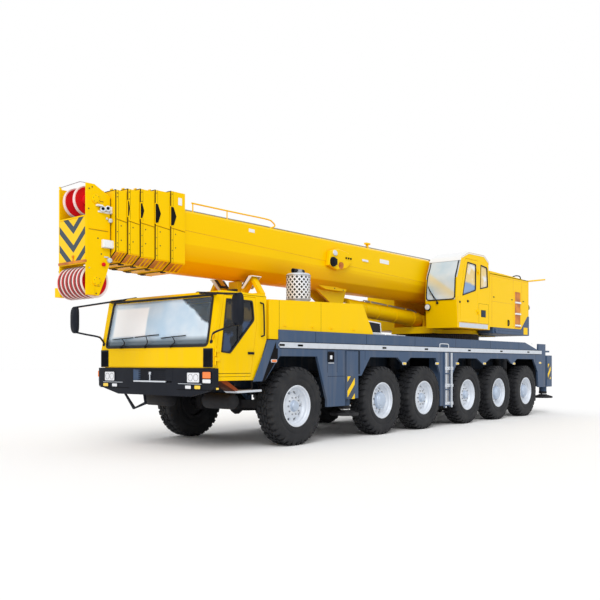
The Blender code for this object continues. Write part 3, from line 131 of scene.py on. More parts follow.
class Look:  # one procedural material
    def __init__(self, name):
        self.material = bpy.data.materials.new(name)
        self.material.use_nodes = True
        self.tree = self.material.node_tree
        self.shader = self.tree.nodes["Principled BSDF"]
        self.coords = None

    def node(self, kind, settings=None, values=None, output=0):
        made = self.tree.nodes.new(kind)
        for key, value in (settings or {}).items():
            if key == "stops":
                ramp = made.color_ramp
                while len(ramp.elements) < len(value):
                    ramp.elements.new(0.5)
                for element, (place, colour) in zip(ramp.elements, value):
                    element.position = place
                    element.color = (*colour, 1)
            else:
                setattr(made, key, value)
        for key, value in (values or {}).items():
            self.put(made.inputs[key], value)
        return Wire(self, made.outputs[output])

    def put(self, socket, value):
        if isinstance(value, Wire):
            self.tree.links.new(value.socket, socket)
        elif isinstance(value, tuple) and len(value) == 3 and len(socket.default_value) == 4:
            socket.default_value = (*value, 1)
        else:
            socket.default_value = value

    def place(self):
        if self.coords is None:
            self.coords = self.node("ShaderNodeTexCoord", output=3)
        return self.coords

    def axes(self, vector=None):
        split = self.tree.nodes.new("ShaderNodeSeparateXYZ")
        self.tree.links.new((vector or self.place()).socket, split.inputs[0])
        return [Wire(self, output) for output in split.outputs]

    def noise(self, scale, detail=2.0, stretch=(1, 1, 1), rough=0.5):
        spot = self.node("ShaderNodeMapping", None, {0: self.place(), 3: stretch})
        return self.node("ShaderNodeTexNoise", None, {"Vector": spot, "Scale": scale, "Detail": detail,
            "Roughness": rough})

    def mix(self, share, one, two):
        return self.node("ShaderNodeMix", {"data_type": "RGBA"}, {0: share, 6: one, 7: two}, output=2)

    def bump(self, height, strength, distance=0.002):
        return self.node("ShaderNodeBump", None, {"Strength": strength, "Distance": distance, "Height": height})

    def done(self, **sockets):
        for key, value in sockets.items():
            self.put(self.shader.inputs[key.replace("_", " ")], value)
        return self.material


# a form is (points, faces): an n by 3 array and a list of index tuples

def joined(*forms):
    points, faces, start = [], [], 0
    for one, rows in forms:
        points.append(one)
        faces += [tuple(int(i) + start for i in row) for row in rows]
        start += len(one)
    return np.concatenate(points), faces


def gridFaces(rows, columns, wrapRows=False, wrapColumns=False, capped=False):
    # each cell of the grid joins four neighbours; a wrapped side joins its last line to its first;
    # capped adds one face over the first row and one over the last
    r = np.arange(rows if wrapRows else rows - 1)[:, None]
    c = np.arange(columns if wrapColumns else columns - 1)[None, :]
    a, b = r * columns + c, r * columns + (c + 1) % columns
    d = ((r + 1) % rows) * columns + c
    e = ((r + 1) % rows) * columns + (c + 1) % columns
    faces = np.stack([a, d, e, b], -1).reshape(-1, 4).tolist()
    count = rows * columns
    return faces + [list(range(columns)), list(range(count - 1, count - columns - 1, -1))] if capped else faces


def basis(axis):
    axis = np.asarray(axis, float) / np.linalg.norm(axis)
    helper = np.array([0, 0, 1.0]) if abs(axis[2]) < 0.7 else np.array([1.0, 0, 0])
    first = helper - axis * helper.dot(axis)
    first /= np.linalg.norm(first)
    return axis, first, np.cross(axis, first)


def evenTurns(count):
    return np.linspace(0, 2 * np.pi, count, endpoint=False)


def lathe(profile, centre, axis, sides=32, closed=False):
    # point = centre + axis * along + radius * (first * cos turn + second * sin turn), for each profile row
    axis, first, second = basis(axis)
    rows = np.asarray(profile, float)
    turn = evenTurns(sides)
    spoke = np.cos(turn)[:, None] * first + np.sin(turn)[:, None] * second
    points = np.asarray(centre) + rows[:, None, 1:2] * axis + rows[:, None, 0:1] * spoke[None]
    return points.reshape(-1, 3), gridFaces(len(rows), sides, closed, True, not closed)


def rounded(path, steps=6):
    # a smooth curve through the points: Catmull-Rom, each span cut into even steps
    p = np.asarray(path, float)
    ends = np.concatenate([[2 * p[0] - p[1]], p, [2 * p[-1] - p[-2]]])
    t = np.linspace(0, 1, steps, endpoint=False)[None, :, None]
    a, b, c, d = (ends[i : len(ends) - 3 + i][:, None] for i in range(4))
    line = 0.5 * (2 * b + (c - a) * t + (2 * a - 5 * b + 4 * c - d) * t**2 + (3 * b - a - 3 * c + d) * t**3)
    return np.concatenate([line.reshape(-1, p.shape[1]), p[-1:]])


def tube(path, radius, sides=10):
    # circles square to the path's direction, joined along it; the frame turns as little as it can
    p = np.asarray(path, float)
    way = np.gradient(p, axis=0)
    way /= np.linalg.norm(way, axis=1)[:, None]
    _, up, _ = basis(way[0])
    ups = []
    for step in way:
        up = up - step * up.dot(step)
        up /= np.linalg.norm(up)
        ups.append(up)
    ups = np.array(ups)
    side = np.cross(way, ups)
    turn = evenTurns(sides)
    size = np.broadcast_to(np.asarray(radius, float), (len(p),))[:, None, None]
    ring = np.cos(turn)[None, :, None] * ups[:, None] + np.sin(turn)[None, :, None] * side[:, None]
    return (p[:, None] + size * ring).reshape(-1, 3), gridFaces(len(p), sides, False, True, True)


def shrunk(outline, by):
    # each side of the outline moved inwards by the same distance, and neighbours met again
    p = np.asarray(outline, float)
    after = np.roll(p, -1, 0)
    area = np.sum(p[:, 0] * after[:, 1] - after[:, 0] * p[:, 1])
    way = (after - p) / np.linalg.norm(after - p, axis=1)[:, None]
    normal = np.stack([-way[:, 1], way[:, 0]], 1) * np.sign(area)
    normalBefore = np.roll(normal, 1, 0)
    middle = normal + normalBefore
    reach = 1 + np.sum(normal * normalBefore, 1)
    return p + middle / np.maximum(reach, 0.2)[:, None] * by


def levelled(rings, plane):
    # points of plane outlines, each lifted to its own level across the plane
    where = {"XZ": (0, 2, 1), "XY": (0, 1, 2), "YZ": (1, 2, 0)}[plane]
    points = np.zeros((len(rings), len(rings[0][0]), 3))
    for row, (line, level) in enumerate(rings):
        points[row, :, where[0]], points[row, :, where[1]], points[row, :, where[2]] = line[:, 0], line[:, 1], level
    return points.reshape(-1, 3)


def slab(outline, low, high, plane="XZ", edge=0.0):
    # an outline carried from low to high across its plane, its rims cut back by edge
    p = np.asarray(outline, float)
    low, high = sorted((low, high))
    rings = [(p, low), (p, high)]
    if edge > 0:
        rings = [(shrunk(p, edge), low), (p, low + edge), (p, high - edge), (shrunk(p, edge), high)]
    return levelled(rings, plane), gridFaces(len(rings), len(p), False, True, True)


def rect(x0, x1, y0, y1):
    return [(x0, y0), (x1, y0), (x1, y1), (x0, y1)]


def box(x0, x1, y0, y1, z0, z1, edge=0.004):
    x0, x1, y0, y1, z0, z1 = min(x0, x1), max(x0, x1), min(y0, y1), max(y0, y1), min(z0, z1), max(z0, z1)
    edge = min(edge, (x1 - x0) / 3, (y1 - y0) / 3, (z1 - z0) / 3)
    return slab(rect(x0, x1, z0, z1), y0, y1, "XZ", edge)


def rounder(outline, radius, steps=4):
    # each corner of the outline becomes an arc: a quadratic curve between points at radius from it
    p = np.asarray(outline, float)
    before, after = np.roll(p, 1, 0), np.roll(p, -1, 0)
    toBefore, toAfter = before - p, after - p
    lenBefore, lenAfter = np.linalg.norm(toBefore, axis=1), np.linalg.norm(toAfter, axis=1)
    cut = np.minimum(radius, 0.45 * np.minimum(lenBefore, lenAfter))
    start = p + toBefore / lenBefore[:, None] * cut[:, None]
    end = p + toAfter / lenAfter[:, None] * cut[:, None]
    t = np.linspace(0, 1, steps + 1)[None, :, None]
    curve = (1 - t) ** 2 * start[:, None] + 2 * t * (1 - t) * p[:, None] + t**2 * end[:, None]
    return curve.reshape(-1, 2)


def moved(form, matrix, shift=(0, 0, 0)):
    points, faces = form
    return points @ np.asarray(matrix, float).T + np.asarray(shift, float), faces


def mirrored(form):
    points, faces = form
    return points * np.array([1, -1, 1]), [tuple(reversed(row)) for row in faces]


def both(form):
    form = joined(*form) if isinstance(form, list) else form
    return [form, mirrored(form)]


def heads(places, normal, radius, tall, sides=6):
    # the same small bolt head at many places: one lathe shape added to every place
    points, faces = lathe([(radius, 0), (radius, tall * 0.8), (radius * 0.8, tall)], (0, 0, 0), normal, sides)
    places = np.asarray(places, float)
    every = (places[:, None] + points[None]).reshape(-1, 3)
    rows = [tuple(i + n * len(points) for i in row) for n in range(len(places)) for row in faces]
    return every, rows


def meshOf(name, forms, smooth=35):
    # forms is a list of (form or list of forms, look); faces keep their look's number
    looks = []
    points, faces, marks, start = [], [], [], 0
    for form, look in forms:
        if isinstance(form, list):
            form = joined(*form)
        if look not in looks:
            looks.append(look)
        points.append(np.asarray(form[0], float))
        faces += [tuple(int(i) + start for i in row) for row in form[1]]
        marks += [looks.index(look)] * len(form[1])
        start += len(form[0])
    mesh = bpy.data.meshes.new(name)
    mesh.from_pydata(np.concatenate(points), [], faces)
    for look in looks:
        mesh.materials.append(look)
    mesh.polygons.foreach_set("material_index", np.array(marks, np.int32))
    made = bmesh.new()
    made.from_mesh(mesh)
    bmesh.ops.remove_doubles(made, verts=made.verts, dist=1e-6)
    bmesh.ops.recalc_face_normals(made, faces=made.faces)
    made.to_mesh(mesh)
    made.free()
    mesh.polygons.foreach_set("use_smooth", np.ones(len(mesh.polygons), bool))
    mesh.set_sharp_from_angle(angle=math.radians(smooth))
    return mesh


def linked(name, data):
    made = bpy.data.objects.new(name, data)
    bpy.context.collection.objects.link(made)
    return made


def build(name, forms, body="chassis", smooth=40, replaces=()):
    made = linked(name, meshOf(name, forms, smooth))
    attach(made, body)
    if replaces:
        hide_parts(*replaces)
    return made


def inRoom(face, room):
    spot = face.calc_center_median()
    return all(room[2 * n] < spot[n] < room[2 * n + 1] for n in range(3))


def dressed(node, name, body, slot, look, width=0.008, angle=30, beyond=None, inner=None):
    # the CAD solid again with its edges rounded off; faces farther out to a side than beyond are dropped;
    # inner is a room, the look of the faces in it, and a smaller room whose faces are dropped
    mesh = nodes[node].data.copy()
    mesh.name = name
    made = bmesh.new()
    made.from_mesh(mesh)
    bmesh.ops.remove_doubles(made, verts=made.verts, dist=1e-5)
    bmesh.ops.dissolve_limit(made, angle_limit=math.radians(1), verts=made.verts, edges=made.edges)
    if beyond:
        outer = [face for face in made.faces if abs(face.calc_center_median().y) > beyond]
        bmesh.ops.delete(made, geom=outer, context="FACES")
    if inner:
        bmesh.ops.delete(made, geom=[face for face in made.faces if inRoom(face, inner[2])], context="FACES")
    marks = np.array([1 if inner and inRoom(face, inner[0]) else 0 for face in made.faces], np.int32)
    made.to_mesh(mesh)
    made.free()
    mesh.materials.clear()
    mesh.materials.append(look)
    if inner:
        mesh.materials.append(inner[1])
    mesh.polygons.foreach_set("material_index", marks)
    mesh.polygons.foreach_set("use_smooth", np.ones(len(mesh.polygons), bool))
    mesh.set_sharp_from_angle(angle=math.radians(angle))
    made = linked(name, mesh)
    bevel = made.modifiers.new("edges", "BEVEL")
    bevel.width = width
    bevel.segments = 2
    bevel.limit_method = "ANGLE"
    bevel.angle_limit = math.radians(angle)
    bevel.harden_normals = True
    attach(made, body)
    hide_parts(node)
    return made


# the two Under colours are painted shade, for faces turned down
paintShades = {"yellow": (0.91, 0.57, 0.0), "yellowShadedUnder": (0.9, 0.38, 0.0), "grey": (0.058, 0.094, 0.165),
    "greyShadedUnder": (0.026, 0.04, 0.068), "dust": (0.3, 0.27, 0.22), "white": (0.82, 0.83, 0.84)}


def paintLook(name, colour, shadedUnder, gloss=0.34, dirt=0.16, coat=0.04):
    look = Look(name)
    z = look.axes()[2]
    # faces turned down take the third argument's colour: painted shade on undersides
    down = look.axes(look.node("ShaderNodeNewGeometry", output=1))[2].ramp(-0.05, -0.85)
    broad = look.noise(0.8, 3)
    fine = look.noise(16, 3)
    streak = look.noise(6, 3, stretch=(1, 1, 0.1))
    film = streak.ramp(0.48, 0.8) * z.ramp(2.6, 0.9) * dirt
    shade = look.mix(down * 0.85, colour, shadedUnder)
    shade = look.mix(broad.ramp(0.4, 0.75) * 0.1, shade, tuple(0.82 * c for c in colour))
    shade = look.mix(film, shade, paintShades["dust"])
    return look.done(Base_Color=shade, Roughness=fine * 0.1 + film * 0.5 + gloss,
        Normal=look.bump(look.noise(180, 2), 0.05, 0.001), Coat_Weight=coat, Coat_Roughness=0.12,
        Specular_IOR_Level=0.09, Specular_Tint=tuple(0.3 + 0.7 * c for c in colour))


def metalLook(name, colour, metallic=0.9, gloss=0.3, grime=0.3):
    look = Look(name)
    patch = look.noise(9, 4)
    fine = look.noise(60, 3)
    shade = look.mix(patch.ramp(0.45, 0.75) * grime, colour, tuple(0.45 * c for c in colour))
    return look.done(Base_Color=shade, Roughness=fine * 0.18 + patch * 0.15 + gloss,
        Normal=look.bump(fine, 0.1, 0.001), Metallic=metallic)


def rubberLook(name, colour=(0.012, 0.013, 0.016), dust=0.35, gloss=0.62):
    look = Look(name)
    patch = look.noise(4, 4)
    grain = look.noise(140, 3)
    shade = look.mix(patch.ramp(0.4, 0.8) * dust, colour, (0.06, 0.058, 0.056))
    return look.done(Base_Color=shade, Roughness=grain * 0.2 + gloss, Normal=look.bump(grain, 0.25, 0.002),
        Specular_IOR_Level=0.3)


def plasticLook(name, colour, gloss=0.45, grain=0.15):
    look = Look(name)
    fine = look.noise(90, 3)
    patch = look.noise(3, 3)
    shade = look.mix(patch.ramp(0.45, 0.8) * 0.3, colour, tuple(min(1.0, 1.6 * c + 0.01) for c in colour))
    return look.done(Base_Color=shade, Roughness=fine * 0.15 + gloss, Normal=look.bump(fine, grain, 0.001),
        Specular_IOR_Level=0.14)


def glassLook(name, colour, alpha, gloss=0.04, reflectionTint=(0.86, 0.92, 0.97)):
    # a pane: painted sky reflection over it in soft patches, a little more of it towards the top
    look = Look(name)
    z = look.axes()[2]
    reflectionPatch = look.noise(1.6, 3)
    shade = look.mix(reflectionPatch.ramp(0.42, 0.62) * 0.55, colour, reflectionTint)
    return look.done(Base_Color=shade, Roughness=gloss + reflectionPatch * 0.02, Alpha=z.ramp(1.2, 3.0) * 0.08 + alpha,
        Specular_IOR_Level=0.8)


def lensLook(name, colour, glow=0.0):
    # ribbed lens: thin upright ribs in the bump, and the colour a little darker along them
    look = Look(name)
    x, y, z = look.axes()
    rib = ((x + y) * 260).sine() * 0.5 + 0.5
    shade = look.mix(rib * 0.25, colour, tuple(0.55 * c for c in colour))
    return look.done(Base_Color=shade, Roughness=rib * 0.1 + 0.08, Normal=look.bump(rib, 0.4, 0.002),
        Coat_Weight=0.6, Emission_Strength=glow, Emission_Color=(*colour, 1))


# each paint's third colour is its painted shade on faces turned down
yellow = paintLook("crane_yellow", paintShades["yellow"], paintShades["yellowShadedUnder"])
grey = paintLook("carrier_grey", paintShades["grey"], paintShades["greyShadedUnder"], 0.36, 0.3, 0.1)
# the chassis frame's grey drawn near black: painted shade under the carrier
frameShadeGrey = paintLook("frame_grey_painted_shade", (0.022, 0.032, 0.05), (0.01, 0.014, 0.022), 0.42, 0.3, 0.0)
white = paintLook("plain_white", paintShades["white"], (0.5, 0.5, 0.5), 0.35, 0.15)
silver = metalLook("silver_strip", (0.6, 0.64, 0.7), 0.25, 0.38, 0.15)
steel = metalLook("bare_steel", (0.42, 0.43, 0.45), 0.9, 0.32)
chrome = metalLook("polished_steel", (0.72, 0.73, 0.75), 1.0, 0.1, 0.05)
# near-black steel with grime patches; its dark base also serves as painted shade for the parts under the carrier and
# inside the rims
darkSteel = metalLook("dark_steel_grime_and_shade", (0.012, 0.012, 0.015), 0.15, 0.6, 0.4)
rimPaint = metalLook("rim_silver", (0.7, 0.74, 0.8), 0.25, 0.34, 0.18)
hubPaint = metalLook("hub_silver", (0.46, 0.54, 0.66), 0.35, 0.32, 0.2)
tyreRubber = rubberLook("tyre_tread")
blackRubber = rubberLook("seal_rubber", (0.01, 0.01, 0.012), 0.1, 0.45)
blackPlastic = plasticLook("bumper_black", (0.006, 0.008, 0.014), 0.42)
cabinPlastic = plasticLook("cabin_plastic", (0.045, 0.055, 0.075), 0.55)
# near black for seams and openings, also put as painted shade in gaps, hollows and recesses
holeBlack = plasticLook("open_dark", (0.004, 0.004, 0.005), 0.8)
redPaint = paintLook("sheave_red", (0.72, 0.012, 0.02), (0.45, 0.01, 0.012), 0.3, 0.05)


def doorLook():
    # dark pane with painted reflections: a blue patch in the lower half and a brown one above it, each where noise
    # passes a level
    look = Look("door_glass")
    x, y, z = look.axes()
    low = look.noise(2.6, 3).ramp(0.44, 0.5) * z.ramp(2.14, 2.08)
    high = look.noise(3.1, 3).ramp(0.5, 0.54) * z.ramp(2.1, 2.16)
    shade = look.mix(low, (0.008, 0.011, 0.015), (0.03, 0.06, 0.13))
    return look.done(Base_Color=look.mix(high, shade, (0.075, 0.055, 0.022)), Roughness=low * 0.02 + 0.05,
        Alpha=low * 0.05 + 0.86, Specular_IOR_Level=0.35)


doorGlass = doorLook()
clearLens = lensLook("clear_lens", (0.78, 0.8, 0.84), 0.05)
orangeLens = lensLook("orange_lens", (0.9, 0.2, 0.01), 0.05)
yellowLens = lensLook("yellow_lens", (0.92, 0.62, 0.03), 0.05)
print("looks ready")


wheelSize = {"radius": 0.685, "half": 0.1875, "lugs": 34, "lugShare": 0.6, "holes": 10, "nuts": 10}


def lugRow(count, profile, share, start, skew):
    # each lug: its profile (along, radius) at two turns half a lug apart; skew turns the far end of the profile on
    rows = np.asarray(profile, float)
    pitch = 2 * np.pi / count
    middle = start + pitch * np.arange(count)
    sides = np.array([-0.5, 0.5]) * pitch * share
    turn = middle[:, None, None] + sides[None, :, None] + (skew * np.abs(rows[:, 0]) / 0.16)[None, None, :]
    radius, place = rows[:, 1][None, None, :], np.broadcast_to(rows[:, 0], turn.shape)
    points = np.stack([radius * np.cos(turn), place, radius * np.sin(turn)], -1).reshape(-1, 3)
    k = len(rows)
    one = [tuple(range(k)), tuple(range(2 * k - 1, k - 1, -1))]
    one += [(i, i + k, (i + 1) % k + k, (i + 1) % k) for i in range(k)]
    return points, [tuple(i + 2 * k * n for i in row) for n in range(count) for row in one]


def tyreForm():
    half, lugs, share = wheelSize["half"], wheelSize["lugs"], wheelSize["lugShare"]
    side = [(0.35, 0.14), (0.358, 0.16), (0.378, 0.17), (0.395, 0.1715), (0.4, 0.176), (0.43, 0.18), (0.47, 0.185),
        (0.475, 0.1825), (0.485, 0.1825), (0.49, 0.186), (0.55, half), (0.6, 0.182), (0.64, 0.17), (0.655, 0.15)]
    rows = side + [(0.658, 0.05), (0.658, -0.05)] + [(r, -a) for r, a in side[::-1]]
    carcass = lathe(rows, (0, 0, 0), (0, 1, 0), 72, True)
    long = [(0.058, 0.65), (0.062, 0.683), (0.146, 0.685), (0.165, 0.677), (0.185, 0.622), (0.1872, 0.59),
        (0.176, 0.588), (0.16, 0.64), (0.14, 0.65)]
    short = [(0.08, 0.65), (0.084, 0.683), (0.148, 0.685), (0.166, 0.675), (0.182, 0.64), (0.17, 0.632), (0.15, 0.65)]
    block = [(0.005, 0.65), (0.008, 0.684), (0.046, 0.685), (0.05, 0.65)]
    step = 2 * np.pi / lugs
    forms = [carcass]
    for sign, shift in ((1, 0.0), (-1, 0.5)):
        flip = [(sign * a, r) for a, r in long], [(sign * a, r) for a, r in short], [(sign * a, r) for a, r in block]
        forms += [lugRow(lugs // 2, flip[0], share / 2, shift * step, 0.05),
            lugRow(lugs // 2, flip[1], share / 2, (shift + 1) * step, 0.05), lugRow(lugs, flip[2], 0.66,
            (shift + 0.25) * step, 0.1 * sign)]
    return joined(*forms)


def rimForms(driven):
    barrel = lathe([(0.345, 0.125), (0.36, 0.15), (0.364, 0.164), (0.352, 0.17), (0.342, 0.166), (0.336, 0.15),
        (0.331, 0.125), (0.318, 0.112), (0.314, 0.07), (0.304, 0.04), (0.296, 0.03), (0.29, 0.028)], (0, 0, 0),
        (0, 1, 0), 64, True)
    # disc: height follows radius; ten oval hollows pull it back by 35 mm
    turns, radii = evenTurns(160), np.linspace(0.294, 0.1, 18)
    turn, radius = np.meshgrid(turns, radii)
    rise = 0.03 + 0.055 * np.clip((0.285 - radius) / 0.13, 0, 1) ** 1.5
    pitch = 2 * np.pi / wheelSize["holes"]
    off = (turn + pitch / 2) % pitch - pitch / 2
    oval = ((radius - 0.243) / 0.027) ** 2 + (off * radius / 0.03) ** 2
    rise = rise - 0.035 * (oval < 1)
    points = np.stack([radius * np.cos(turn), rise, radius * np.sin(turn)], -1).reshape(-1, 3)
    faces = np.array(gridFaces(18, 160, False, True))
    inHole = (oval.reshape(-1)[faces] < 1).all(1)
    disc = (points, faces[~inHole].tolist())
    # the hollows' faces are drawn near black: painted shade in them
    dark = (points, faces[inHole].tolist())
    forms = [(barrel, rimPaint), (disc, rimPaint), (dark, holeBlack)]
    ring = evenTurns(wheelSize["nuts"])
    if driven:
        hub = lathe([(0.172, 0.07), (0.172, 0.098), (0.164, 0.104), (0.16, 0.128), (0.148, 0.142), (0.115, 0.15),
            (0.11, 0.158), (0.06, 0.163), (0.0005, 0.164)], (0, 0, 0), (0, 1, 0), 40)
        spots = np.stack([0.134 * np.cos(ring), 0 * ring + 0.144, 0.134 * np.sin(ring)], 1)
        forms += [(hub, hubPaint), (heads(spots, (0, 1, 0), 0.009, 0.008), rimPaint)]
        spots = np.stack([0.19 * np.cos(ring + 0.2), 0 * ring + 0.07, 0.19 * np.sin(ring + 0.2)], 1)
        forms.append((heads(spots, (0, 1, 0), 0.014, 0.024), steel))
    else:
        hub = lathe([(0.104, 0.08), (0.1, 0.092), (0.09, 0.1), (0.086, 0.128), (0.076, 0.14), (0.04, 0.146),
            (0.0005, 0.147)], (0, 0, 0), (0, 1, 0), 40)
        spots = np.stack([0.15 * np.cos(ring), 0 * ring + 0.082, 0.15 * np.sin(ring)], 1)
        forms += [(hub, hubPaint), (heads(spots, (0, 1, 0), 0.015, 0.026), steel)]
    drum = lathe([(0.0005, -0.1), (0.25, -0.1), (0.275, -0.085), (0.28, 0.01), (0.0005, 0.02)], (0, 0, 0),
        (0, 1, 0), 32)
    # the rim's inside in dark steel: painted shade
    shadedWell = lathe([(0.28, -0.155), (0.335, -0.165), (0.352, -0.16), (0.35, 0.0), (0.345, 0.125), (0.3, 0.035),
        (0.3, -0.1)], (0, 0, 0), (0, 1, 0), 48, True)
    return forms + [(drum, darkSteel), (shadedWell, darkSteel)]


def makeWheels():
    tyre = tyreForm()
    rims = {kind: rimForms(kind) for kind in (True, False)}
    for number in range(1, 7):
        for word, side in (("left", 1), ("right", -1)):
            low, high = (np.array(c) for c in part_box(f"wheel_{number}_{word}"))
            centre = (low + high) / 2
            centre[2] = wheelSize["radius"]
            turn = np.diag([1, side, 1])
            build(f"tyre_{number}_{word}", [(moved(tyre, turn, centre), tyreRubber)],
                f"wheel_{number}_{word}", replaces=[f"wheel_{number}_{word}"])
            forms = [(moved(form, turn, centre), look) for form, look in rims[number in (2, 5, 6)]]
            build(f"rim_{number}_{word}", forms, f"wheel_{number}_{word}", 30)
    print("wheels made")


makeWheels()


panelTable = (
    # node, body, slot, look, edge
    ("carrier_cab", "chassis", "yellow_paint", yellow, 0.012),
    ("door_left", "door_left", "yellow_paint", yellow, 0.006),
    ("door_right", "door_right", "yellow_paint", yellow, 0.006),
    ("engine_hood", "chassis", "yellow_paint", yellow, 0.012),
    ("carrier_body", "chassis", "grey_paint", grey, 0.006),
    ("chassis_frame", "chassis", "grey_paint", frameShadeGrey, 0.008),
    ("front_bumper", "chassis", "black_plastic", blackPlastic, 0.003),
    ("turntable", "superstructure", "yellow_paint", yellow, 0.006),
    ("machine_house_left", "superstructure", "yellow_paint", yellow, 0.014),
    ("machine_house_right", "superstructure", "yellow_paint", yellow, 0.014),
    ("counterweight", "superstructure", "grey_paint", grey, 0.012),
    ("operator_door", "operator_door", "yellow_paint", yellow, 0.006),
    ("boom_head", "boom_head", "yellow_paint", yellow, 0.006),
    ("lift_barrel", "lift_barrel", "yellow_paint", yellow, 0.006),
)


def makePanels():
    for node, body, slot, look, edge in panelTable:
        dressed(node, node + "_panels", body, slot, look, edge, beyond=1.48 if node == "carrier_cab" else None)
    for number in range(1, 6):
        name = f"boom_section_{number}"
        dressed(name, name + "_panels", name, "yellow_paint", yellow, 0.006)
    for place in ("front", "back"):
        for word in ("left", "right"):
            beam = f"outrigger_{place}_{word}_beam"
            dressed(beam, beam + "_panels", beam, "grey_paint", grey, 0.006)
    print("panels dressed")


plainTable = {
    "axles_front": darkSteel, "axles_back": darkSteel, "slewing_ring": darkSteel, "engine": darkSteel,
    "muffler": steel, "carrier_interior": cabinPlastic, "winch": darkSteel, "lift_rod": chrome,
    "sheaves_upper": redPaint, "sheaves_lower": redPaint,
}


def paintPlainNodes():
    for name, made in nodes.items():
        look = plainTable.get(name)
        if name.startswith("knuckle"):
            look = darkSteel
        if name.endswith("_jack"):
            look = darkSteel
        if look is None:
            continue
        if not made.material_slots:
            made.data.materials.append(look)
        for slot in made.material_slots:
            slot.material = look
    print("plain nodes painted")


makePanels()
paintPlainNodes()


def leaned(form, origin, across, up):
    # the form's own x, y, z laid along across, up and the square of both, from origin
    across = np.asarray(across, float) / np.linalg.norm(across)
    up = np.asarray(up, float)
    up = up - across * up.dot(across)
    up /= np.linalg.norm(up)
    return moved(form, np.stack([across, up, np.cross(across, up)], 1), origin)


def ring(outline, width, low, high, plane="XZ"):
    # a closed band: the outline and the outline shrunk by width, each at low and high
    outer = np.asarray(outline, float)
    inner = shrunk(outer, width)
    low, high = sorted((low, high))
    rings = [(outer, low), (outer, high), (inner, high), (inner, low)]
    return levelled(rings, plane), gridFaces(4, len(outer), True, True)


def shifted(outline):
    return [(along(x), z) for x, z in outline]


def at(x, y, z):
    return (along(x), y, z)


def pipe(places, steps, radius, sides):
    # a tube along a smooth curve through the places
    return tube(rounded([at(*place) for place in places], steps), radius, sides)


def brick(x0, x1, y0, y1, z0, z1, edge=0.004):
    # a box whose x is counted from the front axle
    return box(along(x0), along(x1), y0, y1, z0, z1, edge)


def sidePair(x0, x1, y0, y1, z0, z1, edge=0.004):
    # the same brick on both sides, from its distances to the middle
    return joined(*both(brick(x0, x1, y0, y1, z0, z1, edge)))


def sideSlab(outline, y0, y1, edge=0.003):
    return joined(*both(slab(shifted(outline), y0, y1, "XZ", edge)))


screenSize = {"low": 1.685, "high": 2.525, "half": 1.335, "lowX": 1.9665, "highX": 1.8005, "corner": 0.1,
    "seal": 0.038, "crown": 0.02}
doorWindow = [(1.69, 2.45), (1.09, 2.45), (1.05, 2.13), (1.6, 1.58), (1.8, 1.6)]


def screenPlane():
    # origin at the lower middle of the windscreen, across to the left, up the slope
    low, high = np.array(at(screenSize["lowX"], 0, screenSize["low"])), np.array(at(screenSize["highX"], 0,
        screenSize["high"]))
    return low, high - low


def screenLook():
    # painted sky reflection on the pane, with a painted bright patch where the far door's window shows through; more
    # see-through and painted dark above a slanting line at the near top corner, where across * 0.63 + height + wave
    # passes from 2.865 to 2.905; painted shade again along the foot
    look = Look("screen_glass")
    x, y, z = look.axes()
    reflectionPatch = look.noise(1.8, 3)
    wave = look.noise(7, 3) * 0.12
    clear = (y * 0.63 + z + wave).ramp(2.865, 2.905)
    foot = z.ramp(1.87, 1.79)
    window = (y.ramp(-1.19, -1.15) * y.ramp(-0.24, -0.28)) * (z.ramp(1.86, 1.9) * z.ramp(2.4, 2.36))
    shade = look.mix(reflectionPatch.ramp(0.35, 0.65), (0.5, 0.68, 0.85), (0.74, 0.84, 0.93))
    shade = look.mix(window * 0.95, shade, (1.0, 1.0, 1.0))
    shade = look.mix(foot * 0.85, shade, (0.02, 0.05, 0.075))
    shade = look.mix(clear * 0.75, shade, (0.05, 0.07, 0.09))
    return look.done(Base_Color=shade, Roughness=reflectionPatch * 0.02 + 0.04,
        Alpha=(clear * -0.62 + 0.84 + window * 0.12).clamped(), Specular_IOR_Level=0.6)


screenGlass = screenLook()


def makeScreen():
    low, slope = screenPlane()
    tall, half = float(np.linalg.norm(slope)), screenSize["half"]
    corners = rounder([(-half, 0), (half, 0), (half - 0.03, tall), (0.03 - half, tall)], screenSize["corner"], 5)
    seal = leaned(ring(corners, screenSize["seal"], -0.012, 0.012, "XY"), low, (0, 1, 0), slope)
    build("screen_seal", [(seal, blackRubber)], smooth=50)
    # pane: crown is a parabola across and up, on a grid of 25 by 9
    u, v = np.meshgrid(np.linspace(-1, 1, 25), np.linspace(0, 1, 9))
    bulge = screenSize["crown"] * (1 - u**2) * (1 - (2 * v - 1) ** 2) - 0.006
    wide = half - 0.03 - 0.03 * v
    pane = np.stack([u * wide, 0.02 + v * (tall - 0.04), bulge], -1).reshape(-1, 3)
    pane = leaned((pane, gridFaces(9, 25)), low, (0, 1, 0), slope)
    mesh = meshOf("screen_pane", [(pane, screenGlass)], 60)
    glass = linked("screen_pane", mesh)
    thick = glass.modifiers.new("thick", "SOLIDIFY")
    thick.thickness = 0.006
    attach(glass, "chassis")


wiperTable = (
    # foot, elbow, blade ends: across, up the screen
    ((0.46, 0.015), (0.6, 0.12), (0.2, 0.155), (0.8, 0.185)),
    ((-0.2, 0.015), (-0.1, 0.14), (-0.5, 0.185), (0.12, 0.215)),
    ((-0.86, 0.015), (-0.72, 0.12), (-1.12, 0.155), (-0.55, 0.18)),
)


